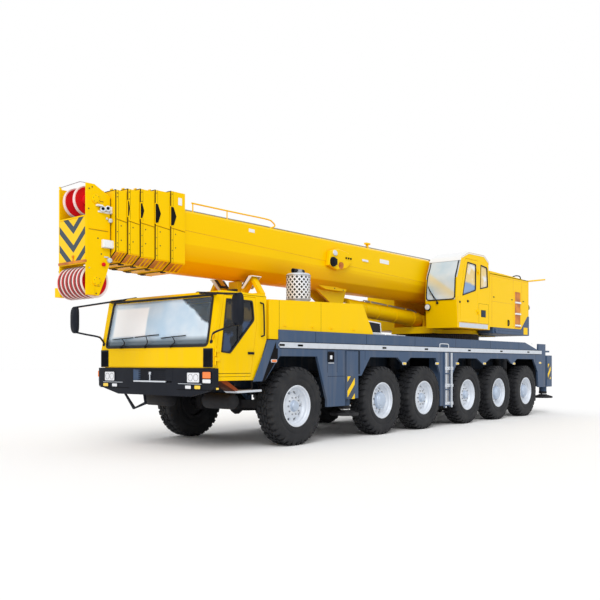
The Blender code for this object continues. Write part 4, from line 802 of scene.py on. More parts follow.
def makeWipers():
    low, slope = screenPlane()
    forms = []
    for foot, elbow, one, two in wiperTable:
        middle = ((one[0] + two[0]) / 2, (one[1] + two[1]) / 2)
        arm = rounded([(foot[0], foot[1], 0.03), (elbow[0], elbow[1] * 0.6, 0.06), (middle[0], middle[1], 0.046)], 6)
        forms += [tube(arm, np.linspace(0.011, 0.006, len(arm)), 8), tube([(one[0], one[1], 0.028),
            (middle[0], middle[1], 0.034), (two[0], two[1], 0.028)], 0.009, 6),
            lathe([(0.022, 0.0), (0.022, 0.024), (0.012, 0.034)], (foot[0], foot[1], 0.008), (0, 0, 1), 12)]
    wipers = leaned(joined(*forms), low, (0, 1, 0), slope)
    build("wipers", [(wipers, blackPlastic)])


doorSize = {"face": 1.45, "seal": 0.024, "seam": 1.267, "bar": 1.415}


def makeDoorParts():
    for word, side in (("left", 1), ("right", -1)):
        body, face = f"door_{word}", doorSize["face"]
        outline = rounder(shifted(doorWindow), 0.05, 4)
        seal = ring(outline, doorSize["seal"], face - 0.03, face + 0.007)
        bar = brick(doorSize["bar"] - 0.012, doorSize["bar"] + 0.012, face - 0.02, face + 0.006, 1.76, 2.44, 0.004)
        handle = joined(brick(1.055, 1.205, face - 0.002, face + 0.008, 1.572, 1.612, 0.004),
            pipe([(1.075, face + 0.006, 1.592), (1.1, face + 0.034, 1.592), (1.16, face + 0.034, 1.592),
            (1.19, face + 0.006, 1.592)], 4, 0.01, 8))
        seam = brick(1.14, 1.868, face - 0.002, face + 0.0015, doorSize["seam"] - 0.004, doorSize["seam"] + 0.004,
            0.001)
        pane = slab(shrunk(outline, doorSize["seal"] * 0.6), face - 0.02, face - 0.014)
        trims = [(seal, blackRubber), (bar, blackRubber), (handle, blackPlastic), (seam, holeBlack)]
        turn = (lambda form: form) if side == 1 else mirrored
        build(f"door_trims_{word}", [(turn(form), look) for form, look in trims], body)
        build(f"door_pane_{word}", [(turn(pane), doorGlass)], body)
        grab = pipe([(0.905, face, 2.425), (0.905, face + 0.045, 2.41), (0.88, face + 0.05, 2.36),
            (0.865, face + 0.05, 1.93), (0.88, face + 0.045, 1.885), (0.885, face, 1.872)], 5, 0.013, 10)
        build(f"grab_bar_{word}", [(turn(grab), blackPlastic)], smooth=50)


mirrorSize = {"y": 2.1, "x": 2.095, "low": 1.978, "high": 2.472, "half": 0.132, "deep": 0.075}


def makeMirrors():
    # housing: superellipse rings across y and z, swelling backwards from the glass
    u, v = np.meshgrid(evenTurns(40), np.linspace(0, 1, 8))
    half, tall = mirrorSize["half"] * 0.9, (mirrorSize["high"] - mirrorSize["low"]) / 2
    middle = (mirrorSize["high"] + mirrorSize["low"]) / 2
    round4 = (np.abs(np.cos(u)) ** 4 + np.abs(np.sin(u)) ** 4) ** -0.25
    size = np.sqrt(1 - (0.97 * v) ** 2.2)
    y = mirrorSize["y"] + half * round4 * np.cos(u) * size
    z = middle + tall * round4 * np.sin(u) * size
    x = along(mirrorSize["x"]) - 0.02 + mirrorSize["deep"] * v
    shell = np.stack([x, y, z], -1).reshape(-1, 3)
    faces = gridFaces(8, 40, False, True, True)
    plate = np.stack([np.full(40, along(mirrorSize["x"]) - 0.0225),
        mirrorSize["y"] + (half - 0.012) * (round4 * np.cos(u))[0],
        middle + (tall - 0.012) * (round4 * np.sin(u))[0]], -1)
    glass = (np.concatenate([plate, plate - np.array([0.002, 0, 0])]), gridFaces(2, 40, False, True, True))
    low = pipe([(1.935, 1.39, 1.755), (1.968, 1.435, 1.85), (1.995, 1.51, 1.902), (2.06, 1.8, 1.952),
        (2.118, 2.08, 2.002)], 6, 0.0165, 10)
    high = tube([at(1.7, 0.8, 2.578), at(1.91, 1.45, 2.512), at(2.12, 2.1, 2.448)], 0.0165, 10)
    feet = joined(lathe([(0.034, -0.004), (0.034, 0.01), (0.02, 0.018)], at(1.705, 0.81, 2.57), (0, 0, 1), 14),
        lathe([(0.032, -0.004), (0.032, 0.01), (0.02, 0.018)], at(1.95, 1.395, 1.765), (1, 0, 0.2), 14))
    forms = [((shell, faces), blackPlastic), (glass, chrome), (low, blackPlastic), (high, blackPlastic),
        (feet, blackPlastic)]
    build("mirror_left", forms)
    build("mirror_right", [(mirrored(form), look) for form, look in forms])


# dark red-brown for the cheek below the cab step
cheekBrown = paintLook("cheek_brown", (0.22, 0.045, 0.012), (0.03, 0.008, 0.004), 0.5, 0.3, 0.0)


def makeCabCorners():
    # black corner vents with upright ribs, each on the front corner of the cab
    forms = []
    outer = brick(1.95, 1.986, 1.235, 1.446, 1.366, 1.66, 0.008)
    forms.append((both(outer), blackPlastic))
    ribs = [brick(1.986, 1.993, 1.255 + 0.03 * n, 1.27 + 0.03 * n, 1.38, 1.632, 0.003) for n in range(6)]
    forms.append((both(ribs), holeBlack))
    build("corner_vents", forms)
    band = brick(1.965, 1.976, -1.225, 1.225, 1.372, 1.642, 0.006)
    brow = joined(brick(1.775, 1.835, -1.36, 1.36, 2.5, 2.522, 0.006), *both(brick(1.8, 1.836, 0.98, 1.08, 2.535,
        2.56, 0.004)))
    build("front_band", [(band, yellow)])
    build("brow_lip", [(brow, blackRubber)])
    line = both(brick(1.8925, 0.78, 1.4495, 1.4515, 2.528, 2.534, 0.0006))
    build("roof_gutter", [(line, holeBlack)])
    steps = []
    outline = [(1.47, 0.985), (0.86, 0.995), (0.86, 0.96), (1.42, 0.95)]
    steps.append((both(slab(shifted(outline), 1.16, 1.44, "XZ", 0.006)), silver))
    cheek = [(1.88, 1.185), (1.47, 0.98), (1.415, 0.98), (1.4, 1.01), (1.7, 1.19)]
    steps.append((both(slab(shifted(cheek), 1.18, 1.425, "XZ", 0.006)), cheekBrown))
    for x in (0.95, 1.36):
        steps.append((both(tube([at(x, 1.3, 1.16), at(x, 1.3, 0.99)], 0.012, 8)), darkSteel))
    build("cab_steps", steps)


lampTable = (
    # name, edges y0, y1, z0, z1, look
    ("head_lamp", 0.875, 1.165, 1.125, 1.282, clearLens),
    ("head_lamp", -1.31, -1.03, 1.125, 1.282, clearLens),
    ("turn_lamp", 1.235, 1.425, 1.19, 1.296, orangeLens),
    ("side_lamp", 1.235, 1.425, 1.118, 1.182, clearLens),
    ("fog_white", 0.83, 0.972, 1.022, 1.078, clearLens),
    ("fog_white", -1.1, -0.95, 1.022, 1.078, clearLens),
    ("fog_yellow", 1.05, 1.19, 1.022, 1.082, yellowLens),
    ("fog_yellow", -1.36, -1.21, 1.022, 1.082, yellowLens),
)


def makeBumperParts():
    front = 1.992
    lamps, frames = [], []
    for name, a, b, z0, z1, look in lampTable:
        outline = rounder(rect(a, b, z0, z1), 0.016, 3)
        lens = slab(outline, along(front - 0.02), along(front + 0.004), "YZ", 0.004)
        lamps.append((lens, look))
        frames.append(ring(shrunk(outline, -0.01), 0.01, along(front - 0.01), along(front + 0.007), "YZ"))
        if name == "head_lamp":
            for y in ((a * 0.72 + b * 0.28), (a * 0.28 + b * 0.72)):
                frames.append(ring(np.stack([y + 0.055 * np.cos(np.linspace(0, 6.02, 24)),
                    (z0 + z1) / 2 + 0.055 * np.sin(np.linspace(0, 6.02, 24))], 1), 0.004, along(front),
                    along(front + 0.006), "YZ"))
    # the far indicator wraps round the bumper's end; small side lamps on both ends
    lamps += [(brick(1.905, 1.985, -1.496, -1.545, 1.19, 1.296, 0.01), orangeLens),
        (brick(1.905, 1.985, -1.496, -1.54, 1.118, 1.18, 0.008), clearLens),
        (both(brick(1.905, 1.955, 1.498, 1.512, 1.02, 1.05, 0.005)), yellowLens)]
    build("front_lamps", lamps)
    build("lamp_frames", [(frames, blackPlastic)])
    strips = [brick(front - 0.004, front + 0.004, y0, y1, 1.098, 1.106, 0.002) for y0,
        y1 in ((0.66, 1.21), (-1.36, -0.8))]
    strips.append(brick(front - 0.03, front + 0.002, -0.5, 0.34, 1.116, 1.14, 0.005))
    build("bumper_strips", [(strips, silver)])
    slats = [brick(1.948, 1.962, -0.48, 0.48, 1.15 + 0.034 * n, 1.166 + 0.034 * n, 0.003) for n in range(5)]
    edge = [brick(1.95, 1.996, -0.515, -0.501, 1.14, 1.332, 0.004), brick(1.95, 1.9925, 0.345, 0.53, 1.142, 1.336,
        0.004)]
    slope = slab([(along(1.95), -0.5), (along(1.992), -0.5), (along(1.95), -0.36)], 1.142, 1.33, "XY", 0.002)
    build("bumper_grille", [([*slats, *edge], blackPlastic), (slope, grey)])
    lip = both(brick(1.94, 1.994, 0.62, 1.47, 1.004, 1.014, 0.002))
    build("bumper_seams", [(lip, holeBlack)])
    plate = lathe([(0.01, -0.02), (0.028, -0.018), (0.028, 0.004), (0.02, 0.01), (0.01, 0.011)],
        at(1.965, -0.09, 1.262), (1, 0, 0), 24)
    post = brick(1.955, 1.972, -0.1, -0.08, 1.14, 1.26, 0.003)
    build("blank_badge", [([plate, post], silver)])


cabInside = {"floor": 1.2045, "dashLow": 1.42, "dashHigh": 1.7}


def cushionForm(centre, half, tall, lean=0.0, power=3.2, sag=0.02):
    # crowned closed pad: superellipse rings in plan, height falls off with a power of the way up;
    # sewn channels dent it
    u, v = np.meshgrid(evenTurns(72), np.linspace(-1, 1, 21))
    plan = (np.abs(np.cos(u)) ** power + np.abs(np.sin(u)) ** power) ** (-1 / power)
    reach = (1 - np.abs(v) ** 2.6) ** 0.42
    x, y, z = half[0] * plan * np.cos(u) * reach, half[1] * plan * np.sin(u) * reach, tall * v
    crown = np.clip(v, 0, 1) * sag * (1 - (x / half[0]) ** 2) * (1 - (y / half[1]) ** 2)
    channel = 0.006 * np.exp(-((np.abs(y) - half[1] * 0.45) / 0.012) ** 2) * np.clip(v, 0, 1)
    points = np.stack([x, y, z + crown - channel], -1).reshape(-1, 3)
    faces = gridFaces(21, 72, False, True, True)
    c, s = math.cos(lean), math.sin(lean)
    return moved((points, faces), [[c, 0, -s], [0, 1, 0], [s, 0, c]], centre)


seatCloth = Look("seat_cloth")
weave = seatCloth.axes()
thread = ((weave[0] * 900).sine() * (weave[1] * 900).sine() + (weave[2] * 900).sine()) * 0.5
seatShade = seatCloth.mix(seatCloth.noise(12, 3).ramp(0.35, 0.7) * 0.5, (0.03, 0.05, 0.105), (0.055, 0.08, 0.15))
seatFabric = seatCloth.done(Base_Color=seatShade, Roughness=thread * 0.05 + 0.85,
    Normal=seatCloth.bump(thread, 0.35, 0.001), Sheen_Weight=0.3)


def makeSeat(name, body, front, y, low, cushionLow):
    # front is the x of the backrest's front face, as in the CAD
    base = joined(brick(front + 0.02, front + 0.32, y - 0.17, y + 0.17, low, cushionLow - 0.03, 0.01),
        brick(front - 0.03, front + 0.36, y - 0.21, y + 0.21, cushionLow - 0.035, cushionLow + 0.005, 0.01))
    build(name + "_base", [(base, cabinPlastic)], body)
    pad = cushionForm(at(front + 0.17, y, cushionLow + 0.062), (0.215, 0.245), 0.058)
    rest = cushionForm(at(front - 0.055, y, cushionLow + 0.44), (0.33, 0.235), 0.05, math.radians(96), 3.0, 0.018)
    head = cushionForm(at(front - 0.075, y, cushionLow + 0.86), (0.085, 0.13), 0.045, math.radians(96), 3.0, 0.008)
    for word, form in (("pad", pad), ("rest", rest), ("head", head)):
        made = build(f"{name}_{word}", [(form, seatFabric)], body, 70)


def makeCabInside():
    floor = cabInside["floor"]
    low, high = cabInside["dashLow"], cabInside["dashHigh"]
    dash = slab(rounder(shifted([(1.62, low), (1.835, low), (1.895, 1.645), (1.8, high), (1.62, high - 0.01)]),
        0.03, 3), -1.36, 1.36, "XZ", 0.01)
    leg = brick(1.72, 1.835, -1.3, 1.3, floor, low + 0.01, 0.006)
    mat = brick(1.08, 1.835, -1.3, 1.3, floor, floor + 0.02, 0.004)
    binnacle = slab(rounder(shifted([(1.6, high - 0.02), (1.76, high - 0.02), (1.72, high + 0.07),
        (1.64, high + 0.06)]), 0.02, 3), 0.46, 0.98, "XZ", 0.008)
    build("cab_inside", [([dash, leg, mat, binnacle], cabinPlastic)], replaces=["carrier_interior"])
    hub, lean = np.array(at(1.5, 0.72, 1.8)), np.array([-0.5, 0, 0.87])
    axis, first, second = basis(lean)
    turn = np.linspace(0, 2 * np.pi, 49)[:-1]
    circle = hub + 0.22 * (np.cos(turn)[:, None] * first + np.sin(turn)[:, None] * second)
    rim = tube(np.concatenate([circle, circle[:1]]), 0.014, 10)
    spokes = [tube([hub - axis * 0.02, hub + 0.215 * (math.cos(a) * first + math.sin(a) * second)], 0.011,
        8) for a in (0.3, 2.84, 4.71)]
    column = tube([hub, hub - axis * 0.34], 0.032, 12)
    boss = lathe([(0.055, -0.02), (0.06, 0.0), (0.045, 0.022)], hub, axis, 20)
    build("steering_wheel", [([rim, *spokes, column, boss], blackPlastic)])
    for word, side in (("left", 1), ("right", -1)):
        makeSeat(f"cab_seat_{word}", "chassis", 1.07, side * 0.72, floor + 0.02, 1.5)
    lining = joined(brick(0.815, 0.825, -1.38, 1.38, 1.85, 2.5, 0.003), brick(0.84, 1.74, -1.38, 1.38, 2.505, 2.515,
        0.003))
    build("cab_lining", [(lining, cabinPlastic)])


def makeFront():
    makeScreen()
    makeWipers()
    makeDoorParts()
    makeMirrors()
    makeCabCorners()
    makeBumperParts()
    makeCabInside()
    print("front of the carrier made")


makeFront()


stripSize = {"front": 0.452, "back": -10.72, "low": 1.692, "high": 1.788, "out": 1.4835, "face": 1.4705}
slotTable = (0.41, -0.076, -2.704, -4.348, -6.344, -8.091, -9.782)
markerTable = (-3.47, -4.83, -5.771, -7.16, -8.88, -10.61)


def makeStrip():
    size = stripSize
    front, back, low, high = size["front"], size["back"], size["low"], size["high"]
    bar = sidePair(back, front, size["face"] - 0.012, size["out"], low, high, 0.006)
    lips = joined(sidePair(back, front, size["face"], size["face"] + 0.0045, high + 0.004, high + 0.011, 0.0015),
        sidePair(back, front, size["face"], size["face"] + 0.0045, low - 0.011, low - 0.004, 0.0015))
    build("side_strip", [(bar, silver), (lips, holeBlack)])
    slots, rims = [], []
    for x in slotTable:
        outline = rounder(rect(x - 0.075, x + 0.075, 1.722, 1.758), 0.017, 4)
        slots.append(sideSlab(outline, size["out"] - 0.002, size["out"] + 0.0015, 0.001))
        line = np.asarray(shifted(outline))
        rims += both(ring(shrunk(line, -0.009), 0.009, size["out"] - 0.002, size["out"] + 0.004))
    build("strip_slots", [(slots, holeBlack), (rims, silver)])


def makePanelSeams():
    face = stripSize["face"]
    seams = [sidePair(x - 0.004, x + 0.004, face - 0.004, face + 0.0008, 1.8, 1.996, 0.0004) for x in (-0.52, -2.1,
        -3.9, -5.7, -7.5, -9.2)]
    for x, low in ((-0.86, 0.66), (-1.15, 0.66), (-2.05, 1.5), (-4.98, 0.6), (-5.56, 0.6), (-10.32, 1.2)):
        seams.append(sidePair(x - 0.003, x + 0.003, face - 0.004, face + 0.0008, max(low, 1.26), 1.672, 0.0004))
    seams.append(sidePair(-1.385, -0.865, face - 0.004, face + 0.0008, 1.186, 1.192, 0.0004))
    build("panel_seams", [(seams, holeBlack)])
    places = [at(x, face - 0.001, z) for x in np.arange(-10.5, 0.3, 0.45) for z in (1.825, 1.972)]
    bolts = both(heads(places, (0, 1, 0), 0.011, 0.006))
    build("panel_bolts", [(bolts, grey)])


def markerForm(x, z):
    body = rounder(rect(x - 0.075, x + 0.075, z - 0.028, z + 0.028), 0.026, 5)
    return sideSlab(body, 1.468, 1.478, 0.002), sideSlab([((p[0] - x) * 0.72 + x,
        (p[1] - z) * 0.66 + z) for p in body], 1.476, 1.492, 0.005)


def makeMarkers():
    plates, lenses, ambers = [], [], []
    for x in markerTable:
        plate, lens = markerForm(x, 1.425 if x > -10 else 1.445)
        plates.append(plate)
        lenses.append(lens)
    plate, lens = markerForm(0.6, 1.468)
    plates.append(plate)
    ambers.append(lens)
    build("side_markers", [(plates, silver), (lenses, yellowLens), (ambers, orangeLens)])
    # lamp box behind the first wheel: frame, dark tray, small lamp, pale ledge
    x0, x1, z0, z1 = -1.045, -0.865, 1.45, 1.645
    corners = rounder(rect(x0, x1, z0, z1), 0.03, 4)
    frames = both(ring(np.asarray(shifted(corners)), 0.018, 1.468, 1.489))
    tray = sideSlab([((p[0] + 0.955) * 0.85 - 0.955, (p[1] - 1.5475) * 0.85 + 1.5475) for p in corners], 1.468,
        1.474, 0.001)
    lamp = sidePair(-0.985, -0.925, 1.472, 1.492, 1.505, 1.575, 0.012)
    ledge = sidePair(x0 + 0.01, x1 - 0.01, 1.472, 1.494, 1.425, 1.442, 0.005)
    build("socket_box", [(frames, blackPlastic), (tray, holeBlack), (lamp, clearLens), (ledge, silver)])


def stripeLook(name, turn):
    # slanting bands: the fraction of a slope across the plate, over a half; turn flips the slope by side
    look = Look(name)
    x, y, z = look.axes()
    slope = z * 0.95 + x * turn
    band = (slope * 3.6 + 0.18).fraction() > 0.42
    worn = look.noise(14, 3).ramp(0.62, 0.8) * 0.15
    shade = look.mix(band, (0.93, 0.6, 0.004), (0.055, 0.075, 0.11))
    return look.done(Base_Color=look.mix(worn, shade, (0.45, 0.42, 0.36)), Roughness=worn + 0.42,
        Specular_IOR_Level=0.2, Normal=look.bump(look.noise(120, 2), 0.08, 0.001))


# dark blue painted shade for the channel over the jack
channelShade = paintLook("channel_painted_shade", (0.01, 0.02, 0.038), (0.006, 0.01, 0.018), 0.4, 0.1)


def makeStripePlates():
    left = stripeLook("stripe_left", 1.0)
    plate = sideSlab(rect(-1.435, -1.665, 0.752, 1.182), 1.478, 1.504, 0.003)
    rear = both(brick(-11.3, -11.1, 1.505, 1.512, 0.98, 1.42, 0.002))
    rearFace = both(brick(-11.398, -11.39, 1.06, 1.44, 1.02, 1.4, 0.002))
    build("stripe_plates", [(plate, left)])
    for number, word in enumerate(("left", "right")):
        build(f"stripe_rear_{word}", [(rearFace[number], stripeLook(f"stripe_rear_{word}", 0.0)),
            (rear[number], left)], f"outrigger_back_{word}_beam")
    # slanting fender strip behind the door, a painted shadow in the gap after it, and painted shade in the channel over
    # the jack
    fender = sideSlab([(0.735, 1.815), (0.545, 1.815), (0.895, 1.13), (1.11, 1.13)], 1.468, 1.484, 0.005)
    shadowGap = sideSlab([(0.54, 1.68), (0.545, 1.812), (0.89, 1.135), (0.835, 1.128), (0.5, 1.52), (0.5, 1.68)], 1.468,
        1.4735, 0.001)
    channel = sideSlab(rect(-1.69, -1.88, 1.22, 1.672), 1.468, 1.4735, 0.001)
    build("fender_strips", [(fender, grey), (shadowGap, holeBlack), (channel, channelShade)])
    pale = sideSlab(rect(-1.43, -1.52, 1.215, 1.64), 1.474, 1.482, 0.003)
    build("notch_plate", [(pale, grey)])


ladderSize = {"front": -5.155, "back": -5.535, "face": 1.472, "out": 1.498}
treadTable = (1.335, 0.945, 0.535)


def makeLadders():
    size = ladderSize
    parts, slots, backs = [], [], []
    for x in (size["front"] - 0.055, size["back"] + 0.055):
        parts += both(brick(x - 0.02, x + 0.02, size["face"], size["out"], 0.42, 1.672, 0.006))
    for z in treadTable:
        parts += both(brick(size["back"], size["front"], size["face"] - 0.03, 1.499, z - 0.055, z + 0.012, 0.006))
        parts += both(brick(size["back"] + 0.02, size["front"] - 0.02, size["face"] - 0.03, 1.4985, z + 0.01,
            z + 0.02, 0.003))
        for n in range(3):
            x = size["back"] + 0.095 + 0.08 * n
            slots += both(brick(x, x + 0.03, 1.4985, 1.4998, z - 0.028, z - 0.02, 0.0005))
    backs += both(brick(size["back"] + 0.05, size["front"] - 0.05, size["face"], size["face"] + 0.006, 0.46, 1.672,
        0.002))
    build("side_ladders", [(parts, silver), (slots, holeBlack), (backs, steel)])
    # low hoop over the strip
    y = 1.455
    path = rounded([at(-4.945, y, 1.78), at(-4.945, y, 1.835), at(-4.985, y, 1.868), at(-5.3, y, 1.868),
        at(-5.345, y, 1.835), at(-5.345, y, 1.78)], 6)
    loops = both(tube(path + np.array([0, 0.022, 0]), 0.012, 8))
    build("step_hoops", [(loops, silver)], smooth=50)


def makeSide():
    makeStrip()
    makePanelSeams()
    makeMarkers()
    makeStripePlates()
    makeLadders()
    print("sides of the carrier made")


makeSide()


hoodTop = {"front": 0.7, "back": -2.0, "zFront": 2.5, "zBack": 2.58}


def hoodLevel(x):
    share = (hoodTop["front"] - x) / (hoodTop["front"] - hoodTop["back"])
    return hoodTop["zFront"] + (hoodTop["zBack"] - hoodTop["zFront"]) * share


def makeHoodParts():
    # seams on both sides, from the grey panel up; a joint across the roof; low hatch frames
    seams = [sidePair(0.437, 0.444, 1.448, 1.4508, 1.8, 2.5, 0.0004), sidePair(-0.7, -0.694, 1.448, 1.4508, 2.004,
        2.53, 0.0004)]
    for x in (0.0, -1.2):
        seams.append(brick(x - 0.004, x + 0.004, -1.44, 1.44, hoodLevel(x) - 0.002, hoodLevel(x) + 0.0015, 0.0004))
    build("hood_seams", [(seams, holeBlack)])
    latches = []
    for x in (0.3, -0.45, -1.0, -1.7):
        latches += both(brick(x - 0.05, x + 0.05, 1.449, 1.457, 2.06, 2.09, 0.003))
        latches += both(lathe([(0.012, 0), (0.012, 0.012), (0.006, 0.016)], at(x, 1.456, 2.075), (0, 1, 0), 12))
    build("hood_latches", [(latches, yellow)])
    slats = []
    for n in range(11):
        x = -1.72 + 0.05 * n
        slats.append(brick(x, x + 0.03, -1.2, -0.3, hoodLevel(x) + 0.001, hoodLevel(x) + 0.013, 0.004))
    frame = brick(-1.77, -1.13, -1.26, -0.24, hoodLevel(-1.45) - 0.018, hoodLevel(-1.45) + 0.006, 0.006)
    build("hood_louvres", [(slats, blackPlastic), (frame, yellow)])


def makeRestGuides():
    # pale facings on the leaning legs of the boom's rest, with dark pads on the side towards the boom
    x0, x1 = -0.075, 0.155
    whites, pads = [], []
    inner = [(0.272, 2.8), (0.455, 3.008), (0.545, 3.008), (0.332, 2.795)]
    whites += both(slab(inner, along(x1 + 0.0005), along(x1 + 0.01), "YZ", 0.002))
    whites += both(slab(inner, along(x0 - 0.01), along(x0 - 0.0005), "YZ", 0.002))
    top = [(0.445, 3.001), (0.555, 3.001), (0.545, 3.016), (0.458, 3.016)]
    whites += both(slab(top, along(x0 - 0.008), along(x1 + 0.008), "YZ", 0.002))
    pad = [(0.288, 2.835), (0.44, 3.004), (0.424, 3.006), (0.272, 2.842)]
    pads += both(slab(pad, along(x0 - 0.006), along(x1 + 0.006), "YZ", 0.002))
    build("rest_facings", [(whites, white), (pads, blackRubber)])
    plate = brick(-0.07, 0.15, -0.118, 0.118, 2.7, 2.7995, 0.003)
    build("rest_pad_top", [(plate, blackRubber)])


shieldSize = {"x": -0.71, "y": 0.9, "radius": 0.226, "low": 2.6, "high": 3.065, "holesRound": 16, "holesUp": 5}


def shieldLook():
    # diamonds in a staggered net: |u| + |v| below a limit, where u and v are cell fractions less a half
    look = Look("pierced_shield")
    x, y, z = look.axes()
    turn = (y - shieldSize["y"]).turn(x - along(shieldSize["x"]))
    u = turn * (shieldSize["holesRound"] / (2 * math.pi))
    v = (z - shieldSize["low"]) * (shieldSize["holesUp"] / (shieldSize["high"] - shieldSize["low"]))
    first = ((u + 20).fraction() - 0.5).size() + ((v + 20).fraction() - 0.5).size()
    second = ((u + 20.5).fraction() - 0.5).size() + ((v + 20.5).fraction() - 0.5).size()
    # the diamonds are drawn near black: painted shade inside the holes
    hole = ((first < 0.3) + (second < 0.3)).clamped()
    rim = ((z > shieldSize["low"] + 0.022) * (z < shieldSize["high"] - 0.022))
    hole = hole * rim
    soot = look.noise(6, 3).ramp(0.5, 0.75) * 0.25
    shade = look.mix(soot, (0.74, 0.77, 0.84), (0.46, 0.47, 0.5))
    return look.done(Base_Color=look.mix(hole, shade, (0.006, 0.006, 0.008)), Metallic=(hole * -0.12) + 0.12,
        Roughness=look.noise(30, 2) * 0.12 + 0.34 + hole * 0.4, Normal=look.bump(hole * -1.0, 0.6, 0.004))


def makeMuffler():
    x, y, r, low, high = (shieldSize[key] for key in ("x", "y", "radius", "low", "high"))
    centre, up, roof = at(x, y, 0), (0, 0, 1), hoodLevel(x)
    shield = lathe([(r - 0.012, low), (r, low), (r, low + 0.006), (r, high - 0.006), (r, high), (r - 0.012, high)],
        centre, up, 72, True)
    build("muffler_shield", [(shield, shieldLook())], smooth=50)
    bands = joined(*[lathe(rect(r + 0.001, r + 0.006, z - 0.01, z + 0.01), centre, up, 72,
        True) for z in (low + 0.012, high - 0.012)])
    cap = lathe([(0, high + 0.045), (0.1, high + 0.043), (0.2, high + 0.03), (0.223, high + 0.008),
        (0.223, high - 0.004), (0, high - 0.004)], centre, up, 64)
    spout = rounded([at(x, y, high + 0.03), at(x, y, high + 0.065), at(x + 0.01, y, high + 0.085)], 5)
    pipe = joined(tube(spout, 0.052, 18), lathe([(0.03, -0.135), (0.046, -0.135), (0.046, 0.155), (0.04, 0.155),
        (0.04, -0.1), (0.03, -0.1)], at(x, y, high + 0.075), (1, 0, 0), 20, True))
    build("muffler_pipe", [(bands, steel), (cap, silver), (pipe, darkSteel)], smooth=50)
    foot = joined(lathe([(r + 0.05, roof + 0.002), (r + 0.05, roof + 0.016), (r - 0.01, roof + 0.02),
        (r - 0.01, roof + 0.002)], centre, up, 48, True), heads([at(x + 0.255 * math.cos(a),
        y + 0.255 * math.sin(a), roof + 0.014) for a in np.arange(0.4, 6.5, 1.047)], up, 0.012, 0.01))
    build("muffler_foot", [(foot, steel)], smooth=50)


def makeHoodRear():
    # dark box with pale edges at the rear of the hood, and small stowed fittings beside it
    outline = rounder([(-2.36, 2.285), (-2.83, 2.255), (-2.86, 2.035), (-2.52, 2.035)], 0.015, 3)
    forms = []
    for side in (1, -1):
        y0, y1 = side * 1.0, side * 1.3
        line = shifted(outline)
        tray = slab(line, y0, y1, "XZ", 0.004)
        lips = [ring(line, 0.02, side * 1.296, side * 1.312), ring(line, 0.02, side * 0.988, side * 1.004)]
        forms += [(tray, blackPlastic), (lips, white)]
    build("hood_rear_box", forms)
    low = []
    low += both(brick(-2.95, -2.45, 0.95, 1.34, 1.996, 2.03, 0.006))
    low += both(brick(-3.7, -3.05, 1.28, 1.36, 2.0, 2.022, 0.005))
    build("deck_plates", [(low, silver)])


makeHoodParts()
makeRestGuides()
makeMuffler()
makeHoodRear()
print("hood parts made")


# boom collars

collarTable = (
    # front, top, side's lower edge, half width, low, window's depth
    (2.035, 4.211, 3.063, 0.53, 2.925, 0.12),
    (2.34, 4.176, 3.079, 0.517, 2.941, 0.115),
    (2.62, 4.143, 3.089, 0.504, 2.957, 0.075),
    (2.85, 4.105, 3.114, 0.491, 2.973, 0.045),
    (3.06, 4.057, 3.131, 0.478, 2.989, 0.0),
)


def hatchLook():
    # brown painted shade for the paint under the collars and in recesses, in slanted patches
    look = Look("shade_and_hose_brown")
    patch = look.noise(5, 4)
    shade = look.mix(patch.ramp(0.4, 0.65), (0.42, 0.11, 0.008), (0.72, 0.25, 0.01))
    return look.done(Base_Color=shade, Roughness=patch * 0.2 + 0.42, Normal=look.bump(patch, 0.1, 0.002))


shadeAndHoseBrown = hatchLook()


def outlineOf(half, top, corner, low, grow=0.0):
    flat = half * 0.6
    line = [(half, top), (-half, top), (-half, corner), (-flat, low), (flat, low), (half, corner)]
    return shrunk(np.asarray(line), -grow) if grow else np.asarray(line)


def onSlope(side, half, flat, corner, low, x0, x1, u0, u1, tall):
    # a plate on the collar's slanting underside: u runs from the side's corner, 0, to the flat bottom, 1
    down = np.array([0.0, side * (flat - half), low - corner])
    start = np.array([0.0, side * half, corner])
    long = float(np.linalg.norm(down))
    form = slab(rect(x0, x1, u0 * long, u1 * long), 0, tall, "XY", tall * 0.3)
    out = np.array([0.0, side * (corner - low), flat - half]) / long
    points, faces = form
    way = down / long
    return start + points[:, :1] * np.array([1.0, 0, 0]) + points[:, 1:2] * way + points[:, 2:3] * out, faces


